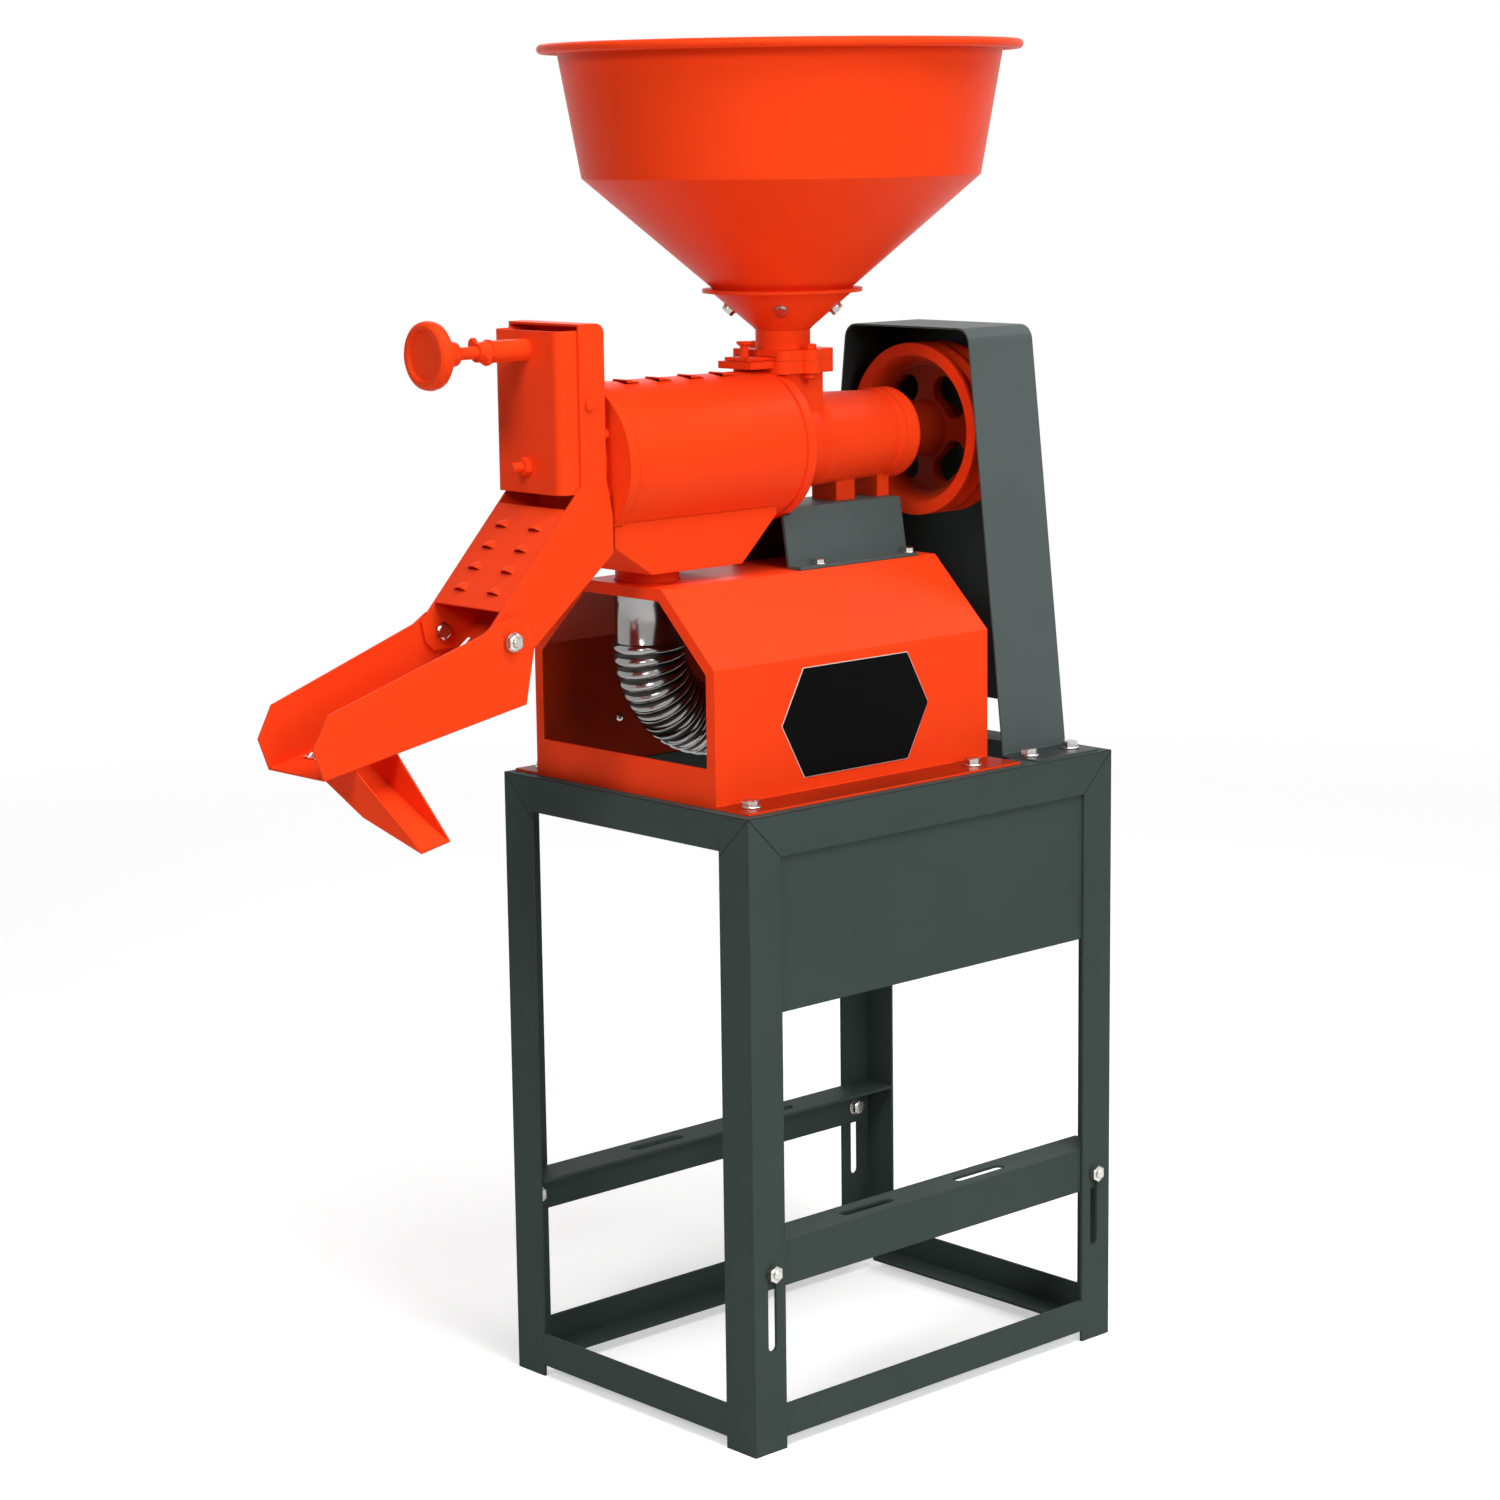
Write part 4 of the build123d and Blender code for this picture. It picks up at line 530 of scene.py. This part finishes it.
def tubeInto(bm, place, points, radius, sides, level):
    # a round wire along the points; level is a direction that the wire never follows
    rings = []
    for k, p in enumerate(points):
        ahead = (points[min(k + 1, len(points) - 1)] - points[max(k - 1, 0)]).normalized()
        side = ahead.cross(level).normalized()
        up = side.cross(ahead)
        ring = []
        for i in range(sides):
            a = 2 * math.pi * i / sides
            spot = p + (side * math.cos(a) + up * math.sin(a)) * radius
            ring.append(bm.verts.new(place @ spot))
        rings.append(ring)
    for lower, upper in zip(rings, rings[1:]):
        for i in range(sides):
            j = (i + 1) % sides
            bm.faces.new((lower[i], lower[j], upper[j], upper[i])).smooth = True
    bm.faces.new(rings[0][::-1])
    bm.faces.new(rings[-1])


def meshPiece(name, bm, material, body, sharpAngle=35.0):
    bmesh.ops.recalc_face_normals(bm, faces=bm.faces)
    mesh = bpy.data.meshes.new(name)
    bm.to_mesh(mesh)
    bm.free()
    mesh.set_sharp_from_angle(angle=math.radians(sharpAngle))
    mesh.materials.append(material)
    piece = bpy.data.objects.new(name, mesh)
    scene.collection.objects.link(piece)
    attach(piece, body)
    return piece


def alongAxis(axis, middle, start, towards):
    # a frame whose Z runs along the given axis from start
    lead = Vector((0, 0, 0))
    lead[axis] = towards
    turn = lead.to_track_quat("Z", "Y").to_matrix().to_4x4()
    place = Vector(middle)
    place[axis] = start
    return Matrix.Translation(place) @ turn


weldGrid = 20000  # steps to the metre: corners closer than this are one corner


def solidBoxes(nodeName):
    # low and high corner of each separate solid in one node
    mesh = frame["nodes"][nodeName].data
    spots, parent, index = {}, [], []

    def root(i):
        while parent[i] != i:
            parent[i] = parent[parent[i]]
            i = parent[i]
        return i

    for vertex in mesh.vertices:
        key = tuple(round(c * weldGrid) for c in vertex.co)
        if key not in spots:
            spots[key] = len(parent)
            parent.append(len(parent))
        index.append(spots[key])
    for face in mesh.polygons:
        first = root(index[face.vertices[0]])
        for v in face.vertices[1:]:
            parent[root(index[v])] = first
    groups = {}
    for vertex, i in zip(mesh.vertices, index):
        groups.setdefault(root(i), []).append(vertex.co)
    boxes = []
    for points in groups.values():
        low = Vector([min(p[k] for p in points) for k in range(3)])
        high = Vector([max(p[k] for p in points) for k in range(3)])
        boxes.append((low, high))
    return sorted(boxes, key=lambda b: tuple(b[0]))


# Fasteners: head, washer, shank with thread, nut
fastener = {
    "washerRadius": 1.05,  # the first eight are in bolt sizes
    "washerHeight": 0.15,
    "headAcross": 1.6,
    "headHeight": 0.65,
    "nutHeight": 0.8,
    "chamfer": 0.12,
    "threadPitch": 0.16,
    "threadDepth": 0.055,
    "washerEdge": 0.3,  # in washer heights
    "chamferSlant": 1.6,  # in chamfers
    "threadStart": 1.6,  # in thread depths
    "washerSides": 28,
    "rodSides": 20,
}
hexSides = 6


def hexInto(bm, place, size, low, high, bothEnds):
    # chamfered at both ends it is a nut, otherwise a head
    chamfer = fastener["chamfer"] * size
    corner = fastener["headAcross"] * size / 2 / math.cos(math.pi / hexSides)
    rim = corner - chamfer * fastener["chamferSlant"]
    outline = [(0, low)]
    outline += [(rim, low), (corner, low + chamfer)] if bothEnds else [(corner, low)]
    outline += [(corner, high - chamfer), (rim, high), (0, high)]
    latheInto(bm, place, outline, hexSides, smooth=False)


def rodInto(bm, place, radius, low, high, sides):
    latheInto(bm, place, [(0, low), (radius, low), (radius, high), (0, high)], sides)


def threadInto(bm, place, size, low, high):
    radius = size / 2
    depth = fastener["threadDepth"] * size
    turns = max(1, int((high - low) / (fastener["threadPitch"] * size)))
    step = (high - low) / turns
    outline = [(0, low), (radius - depth * fastener["threadStart"], low)]
    for i in range(turns):
        outline.append((radius, low + step * (i + 0.5)))
        outline.append((radius - depth, low + step * (i + 1.0)))
    outline.append((0, high))
    latheInto(bm, place, outline, fastener["rodSides"])


def boltInto(bm, place, size, length, tail, withNut):
    # the shank's free end is at 0 and the head's top at length, along the piece's own Z
    f = fastener
    headLow = length - f["headHeight"] * size
    washerLow = headLow - f["washerHeight"] * size
    washer = f["washerRadius"] * size
    edge = f["washerHeight"] * size * f["washerEdge"]
    outline = [(0, washerLow), (washer - edge, washerLow), (washer, washerLow + edge)]
    outline += [(washer, headLow - edge), (washer - edge, headLow), (0, headLow)]
    latheInto(bm, place, outline, f["washerSides"])
    hexInto(bm, place, size, headLow, length, bothEnds=False)
    if withNut:
        nutHigh = tail + f["nutHeight"] * size
        hexInto(bm, place, size, tail, nutHigh, bothEnds=True)
        threadInto(bm, place, size, 0.0, tail)
        rodInto(bm, place, size / 2, nutHigh, washerLow, f["rodSides"])
    else:
        threadInto(bm, place, size, 0.0, washerLow)


boltGroups = (
    # axis 0 to 2 is X to Z, head is the side that the head is on, sizes are in metres
    {
        "node": "deck_bolts", "body": "frame",
        "axis": 2, "head": 1, "size": 0.008, "tail": 0.003,
    },
    {
        "node": "saddle_bolts", "body": "frame",
        "axis": 2, "head": 1, "size": 0.006, "tail": 0.003,
        "flipAbove": 0.73,  # these screw up into the casting's feet, without nuts
    },
    {
        "node": "rail_bolts_front", "body": "front_motor_rail",
        "axis": 1, "head": 1, "size": 0.008, "tail": 0.002,
    },
    {
        "node": "rail_bolts_back", "body": "back_motor_rail",
        "axis": 1, "head": -1, "size": 0.008, "tail": 0.002,
    },
    {
        "node": "feed_flange_bolts", "body": "frame",
        "axis": 2, "head": 1, "size": 0.006, "tail": 0.003,
    },
)


def dressBolts():
    for g in boltGroups:
        bm = bmesh.new()
        axis = g["axis"]
        for low, high in solidBoxes(g["node"]):
            flipped = low[axis] > g.get("flipAbove", math.inf)
            side = -g["head"] if flipped else g["head"]
            start = low[axis] if side > 0 else high[axis]
            place = alongAxis(axis, (low + high) / 2, start, side)
            boltInto(bm, place, g["size"], high[axis] - low[axis], g["tail"], not flipped)
        slot = nodeSlots[g["node"]]
        piece = meshPiece(g["node"] + "_dressed", bm, finishes[slot], g["body"])
        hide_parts(g["node"])


# Pivot bolts of the trough: the nut and the end of the thread are on the outside
pivotLook = {
    "size": 0.008,
    "head": 0.004,
    "nutEnd": 0.0056,  # from the nut's inner face to the end of the thread
    "nut": 0.0042,
    "washer": 0.0015,
    "washerRadius": 0.0076,
}


def addPivotBolts(v):
    bm = bmesh.new()
    troughLow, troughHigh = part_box("trough")
    middleY = (troughLow.y + troughHigh.y) / 2
    for low, high in solidBoxes("trough_bolts"):
        middle = (low + high) / 2
        out = 1 if middle.y > middleY else -1
        place = alongAxis(1, middle, low.y if out > 0 else high.y, out)
        length = high.y - low.y
        nutLow = length - v["nutEnd"]
        nutHigh = nutLow + v["nut"]
        washerLow = nutLow - v["washer"]
        hexInto(bm, place, v["size"], 0.0, v["head"], bothEnds=True)
        rodInto(bm, place, v["size"] / 2, v["head"], nutLow, fastener["rodSides"])
        rodInto(bm, place, v["washerRadius"], washerLow, nutLow, fastener["washerSides"])
        hexInto(bm, place, v["size"], nutLow, nutHigh, bothEnds=True)
        threadInto(bm, place, v["size"], nutHigh, length)
    piece = meshPiece("trough_bolts_dressed", bm, zincSteel, "frame")
    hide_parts("trough_bolts")


# Small screw in the hood's back wall, seen through the open side
screwLook = {
    "place": (-0.115, 0.118, 0.5685),
    "radius": 0.0038,
    "height": 0.0024,
    "dome": ((0, 0), (1, 0), (1, 0.35), (0.8, 0.8), (0.4, 1), (0, 1)),  # in radii and heights
}


def addHoodScrew(c):
    bm = bmesh.new()
    dome = [(r * c["radius"], h * c["height"]) for r, h in c["dome"]]
    place = alongAxis(1, c["place"], c["place"][1], -1)
    latheInto(bm, place, dome, fastener["rodSides"])
    piece = meshPiece("hood_screw", bm, zincSteel, "frame", 50.0)


# Bran hose: plain cuff with a collar, then round corrugations along the bend
hoseLook = {
    "cuffLength": 0.048,
    "collar": (0.3, 0.31),  # where the collar's step starts and ends, in cuff lengths
    "collarStep": 0.0005,
    "bend": 0.072,
    "endCuff": 0.022,
    "pitch": 0.008,
    "ridge": 0.0026,
    "ridgeFullness": 0.7,  # under 1 makes the ridges fuller
    "grooveDepth": 0.0004,  # below the plain cuffs
    "grooveTop": 0.45,  # the painted shade in the grooves reaches up to here, in ridges
    "wall": 0.0016,
    "segments": 56,
    "stepsPerRidge": 8,
    "innerRings": 14,  # along the bend
}


def hosePlace(s, top, straight, bend, x, y):
    # a frame on the hose's middle line, s metres from its upper end
    arc = bend * math.pi / 2
    if s <= straight:
        spot = Vector((x, y, top - s))
        heading = Vector((0, 0, -1))
    elif s <= straight + arc:
        a = (s - straight) / bend
        spot = Vector((x + bend * (1 - math.cos(a)), y, top - straight - bend * math.sin(a)))
        heading = Vector((math.sin(a), 0, -math.cos(a)))
    else:
        spot = Vector((x + bend + s - straight - arc, y, top - straight - bend))
        heading = Vector((1, 0, 0))
    side = Vector((0, 1, 0))
    turn = Matrix((side, heading.cross(side), heading)).transposed().to_4x4()
    return Matrix.Translation(spot) @ turn


def addHose(h):
    low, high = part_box("bran_hose")
    ridgeRadius = (high.y - low.y) / 2
    plain = ridgeRadius - h["ridge"]
    neck = plain - h["collarStep"]
    groove = plain - h["grooveDepth"]
    bore = plain - h["wall"]
    y = (low.y + high.y) / 2
    x = low.x + ridgeRadius
    straight = high.z - low.z - h["bend"] - ridgeRadius
    arc = h["bend"] * math.pi / 2
    total = straight + arc + high.x - (x + h["bend"])
    ridgeStart, ridgeEnd = h["cuffLength"], total - h["endCuff"]

    stepStart, stepEnd = (share * h["cuffLength"] for share in h["collar"])
    stops = [(0.0, plain), (stepStart, plain), (stepEnd, neck), (ridgeStart, neck)]
    firstRidge = len(stops)
    for i in range(int((ridgeEnd - ridgeStart) / h["pitch"]) * h["stepsPerRidge"]):
        t = (i + 0.5) / h["stepsPerRidge"]
        swell = (0.5 - 0.5 * math.cos(2 * math.pi * t)) ** h["ridgeFullness"]
        stops.append((ridgeStart + t * h["pitch"], groove + (ridgeRadius - groove) * swell))
    lastRidge = len(stops) - 1
    stops += [(ridgeEnd, plain), (total, plain)]
    inside = [(total, bore), (ridgeEnd, bore)]
    for i in range(h["innerRings"] + 1):
        inside.append((straight + arc * (1 - i / h["innerRings"]), bore))
    inside.append((0.0, bore))

    bm = bmesh.new()
    rings = []
    for s, radius in stops + inside:
        place = hosePlace(s, high.z, straight, h["bend"], x, y)
        rings.append(ringInto(bm, place, radius, h["segments"]))
    grooveTop = plain + h["ridge"] * h["grooveTop"]
    for k, (lower, upper) in enumerate(zip(rings, rings[1:] + rings[:1])):
        corrugated = firstRidge <= k < lastRidge
        # faces low in the grooves take the near-black steel as painted shade
        dark = corrugated and max(stops[k][1], stops[k + 1][1]) < grooveTop
        for i in range(h["segments"]):
            j = (i + 1) % h["segments"]
            face = bm.faces.new((lower[i], lower[j], upper[j], upper[i]))
            face.smooth = True
            face.material_index = 1 if dark else 0
    piece = meshPiece("corrugated_hose", bm, hoseSteel, "frame", 60.0)
    piece.data.materials.append(hoseGrooveShade)
    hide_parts("bran_hose")


troughSlope = math.radians(11.1)  # at rest

# Woven wire over the opening in the trough floor, and the floor's end beside it
meshLook = {
    "wire": 0.0006,
    "wireSides": 6,
    "pitch": 0.0042,
    "rise": 0.0006,
    "frameWidth": 0.004,
    "lap": 0.003,
    "floorSheet": 0.0015,
    "closed": 0.023,  # length of the opening's far end that the floor closes
}


def weaveInto(bm, place, length, width, m):
    # wires run both ways and pass over and under each other
    def wire(points):
        tubeInto(bm, place, points, m["wire"], m["wireSides"], Vector((0, 0, 1)))

    across = int(length / m["pitch"])
    along = int(width / m["pitch"])
    for i in range(across + 1):
        x = length * (i / across - 0.5)
        points = []
        for k in range(2 * along + 1):
            swing = math.cos(math.pi * (k / 2 + i)) * m["rise"]
            points.append(Vector((x, width * (k / (2 * along) - 0.5), swing)))
        wire(points)
    for i in range(along + 1):
        y = width * (i / along - 0.5)
        points = []
        for k in range(2 * across + 1):
            swing = -math.cos(math.pi * (k / 2 + i)) * m["rise"]
            points.append(Vector((length * (k / (2 * across) - 0.5), y, swing)))
        wire(points)


def addMesh(m):
    low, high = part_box("trough_mesh")
    place = Matrix.Translation((low + high) / 2) @ Matrix.Rotation(-troughSlope, 4, "Y")
    fullLength = (high.x - low.x) / math.cos(troughSlope)
    fullWidth = high.y - low.y
    length = fullLength - m["frameWidth"] - m["closed"]
    width = fullWidth - m["frameWidth"]
    bm = bmesh.new()
    weaveInto(bm, place @ Matrix.Translation((m["closed"] / 2, 0, 0)), length, width, m)
    piece = meshPiece("woven_mesh", bm, brightSteel, "trough", 60.0)
    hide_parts("trough_mesh")

    bm = bmesh.new()
    start = m["lap"] - fullLength / 2
    middle = (start + m["closed"] / 2, 0.0, -m["wire"] - m["floorSheet"] / 2)
    size = (m["closed"], fullWidth - 2 * m["lap"], m["floorSheet"], 1.0)
    block = place @ Matrix.Translation(middle) @ Matrix.Diagonal(size)
    bmesh.ops.create_cube(bm, size=1.0, matrix=block)
    plate = meshPiece("trough_floor_end", bm, orangePaint, "trough")


# Side chute below the mesh: narrower towards the mouth, where its walls run out
sideLook = {
    "pivot": (-0.357, 0.008, 0.676),
    "right": -0.1165,  # from here on in the trough's own frame
    "width": 0.042,
    "mouthWidth": 0.028,
    "back": 0.033,
    "front": -0.033,
    "mouth": -0.080,
    "roof": -0.0528,
    "drop": 0.067,
    "lip": 0.002,
    "sheet": 0.0015,
}


def addSideChute(c):
    right, left = c["right"], c["right"] - c["width"]
    mouthLeft = right - c["mouthWidth"]
    roof, low = c["roof"], c["roof"] - c["drop"]
    fall = c["drop"] / (c["back"] - c["mouth"])
    below = roof - fall * (c["back"] - c["front"])
    spots = {
        "backLeft": (left, c["back"], roof),
        "backRight": (right, c["back"], roof),
        "frontLeft": (left, c["front"], below),
        "frontRight": (right, c["front"], below),
        "topLeft": (left, c["front"], roof),
        "topRight": (right, c["front"], roof),
        "mouthLeft": (mouthLeft, c["mouth"], low),
        "mouthRight": (right, c["mouth"], low),
        "lipLeft": (mouthLeft, c["mouth"], low + c["lip"]),
        "lipRight": (right, c["mouth"], low + c["lip"]),
    }
    sheets = (
        ("backLeft", "backRight", "frontRight", "frontLeft"),
        ("frontLeft", "frontRight", "mouthRight", "mouthLeft"),
        ("backLeft", "frontLeft", "topLeft"),
        ("topLeft", "frontLeft", "mouthLeft", "lipLeft"),
        ("backRight", "topRight", "frontRight"),
        ("topRight", "lipRight", "mouthRight", "frontRight"),
    )
    place = Matrix.Translation(c["pivot"]) @ Matrix.Rotation(-troughSlope, 4, "Y")
    bm = bmesh.new()
    corners = {name: bm.verts.new(place @ Vector(spot)) for name, spot in spots.items()}
    for names in sheets:
        bm.faces.new([corners[name] for name in names])
    bmesh.ops.recalc_face_normals(bm, faces=bm.faces)
    bmesh.ops.solidify(bm, geom=bm.faces[:], thickness=c["sheet"])
    piece = meshPiece("bent_side_chute", bm, orangePaint, "trough", 20.0)
    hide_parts("side_chute")


# Outlet spring: closed end coils
springLook = {
    "wire": 0.0009,
    "wireSides": 10,
    "turns": 7.0,
    "endTurns": 0.8,
    "endPitch": 2.05,  # in wire radii, so that the end coils all but touch
    "stepsPerTurn": 28,
    "keep": 0.62,
}


def addSpring(s):
    low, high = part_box("flap_spring")
    middle = (low + high) / 2
    radius = (high.z - low.z) / 2 - s["wire"]
    length = high.x - low.x - 2 * s["wire"]
    tight = s["endPitch"] * s["wire"]
    loose = (length - 2 * s["endTurns"] * tight) / (s["turns"] - 2 * s["endTurns"])
    points = []
    steps = int(s["turns"] * s["stepsPerTurn"])
    for k in range(steps + 1):
        turn = s["turns"] * k / steps
        first = min(turn, s["endTurns"])
        last = max(0.0, turn - s["turns"] + s["endTurns"])
        x = (first + last) * tight + (turn - first - last) * loose
        a = 2 * math.pi * turn
        points.append(Vector((x, radius * math.cos(a), radius * math.sin(a))))
    bm = bmesh.new()
    place = Matrix.Translation((low.x + s["wire"], middle.y, middle.z))
    tubeInto(bm, place, points, s["wire"], s["wireSides"], Vector((1, 0, 0)))
    piece = meshPiece("coil_spring", bm, brightSteel, "frame", 60.0)
    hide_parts("flap_spring")
    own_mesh(piece)


# Bare six-sided plate on the hood's front, with a pale border behind it
plateLook = {
    "middle": (-0.0475, 0.5885),  # x and height
    "front": -0.104,  # the hood's front face
    "halfWidth": 0.0840,
    "halfFlat": 0.0595,
    "halfHeight": 0.0448,
    "thick": 0.0008,
    "border": 0.0006,
    "borderThick": 0.0004,
}


def plateInto(bm, p, grow, thick):
    near, far = [], []
    for sx, sz in ((-1, 0), (-1, 1), (1, 1), (1, 0), (1, -1), (-1, -1)):
        reach = p["halfWidth"] if sz == 0 else p["halfFlat"]
        x = p["middle"][0] + sx * (reach + grow)
        z = p["middle"][1] + sz * (p["halfHeight"] + grow)
        near.append(bm.verts.new((x, p["front"] - thick, z)))
        far.append(bm.verts.new((x, p["front"], z)))
    bm.faces.new(near)
    bm.faces.new(far[::-1])
    for i in range(len(near)):
        bm.faces.new((near[i - 1], far[i - 1], far[i], near[i]))


def addPlate(p):
    bm = bmesh.new()
    plateInto(bm, p, p["border"], p["borderThick"])
    meshPiece("front_plate_border", bm, plateBorder, "frame")
    bm = bmesh.new()
    plateInto(bm, p, 0.0, p["thick"])
    meshPiece("front_plate", bm, plateBlack, "frame")


dressBolts()
addPivotBolts(pivotLook)
addHoodScrew(screwLook)
print("fasteners dressed")
addHose(hoseLook)
addMesh(meshLook)
addSideChute(sideLook)
addSpring(springLook)
addPlate(plateLook)
print("pieces added")
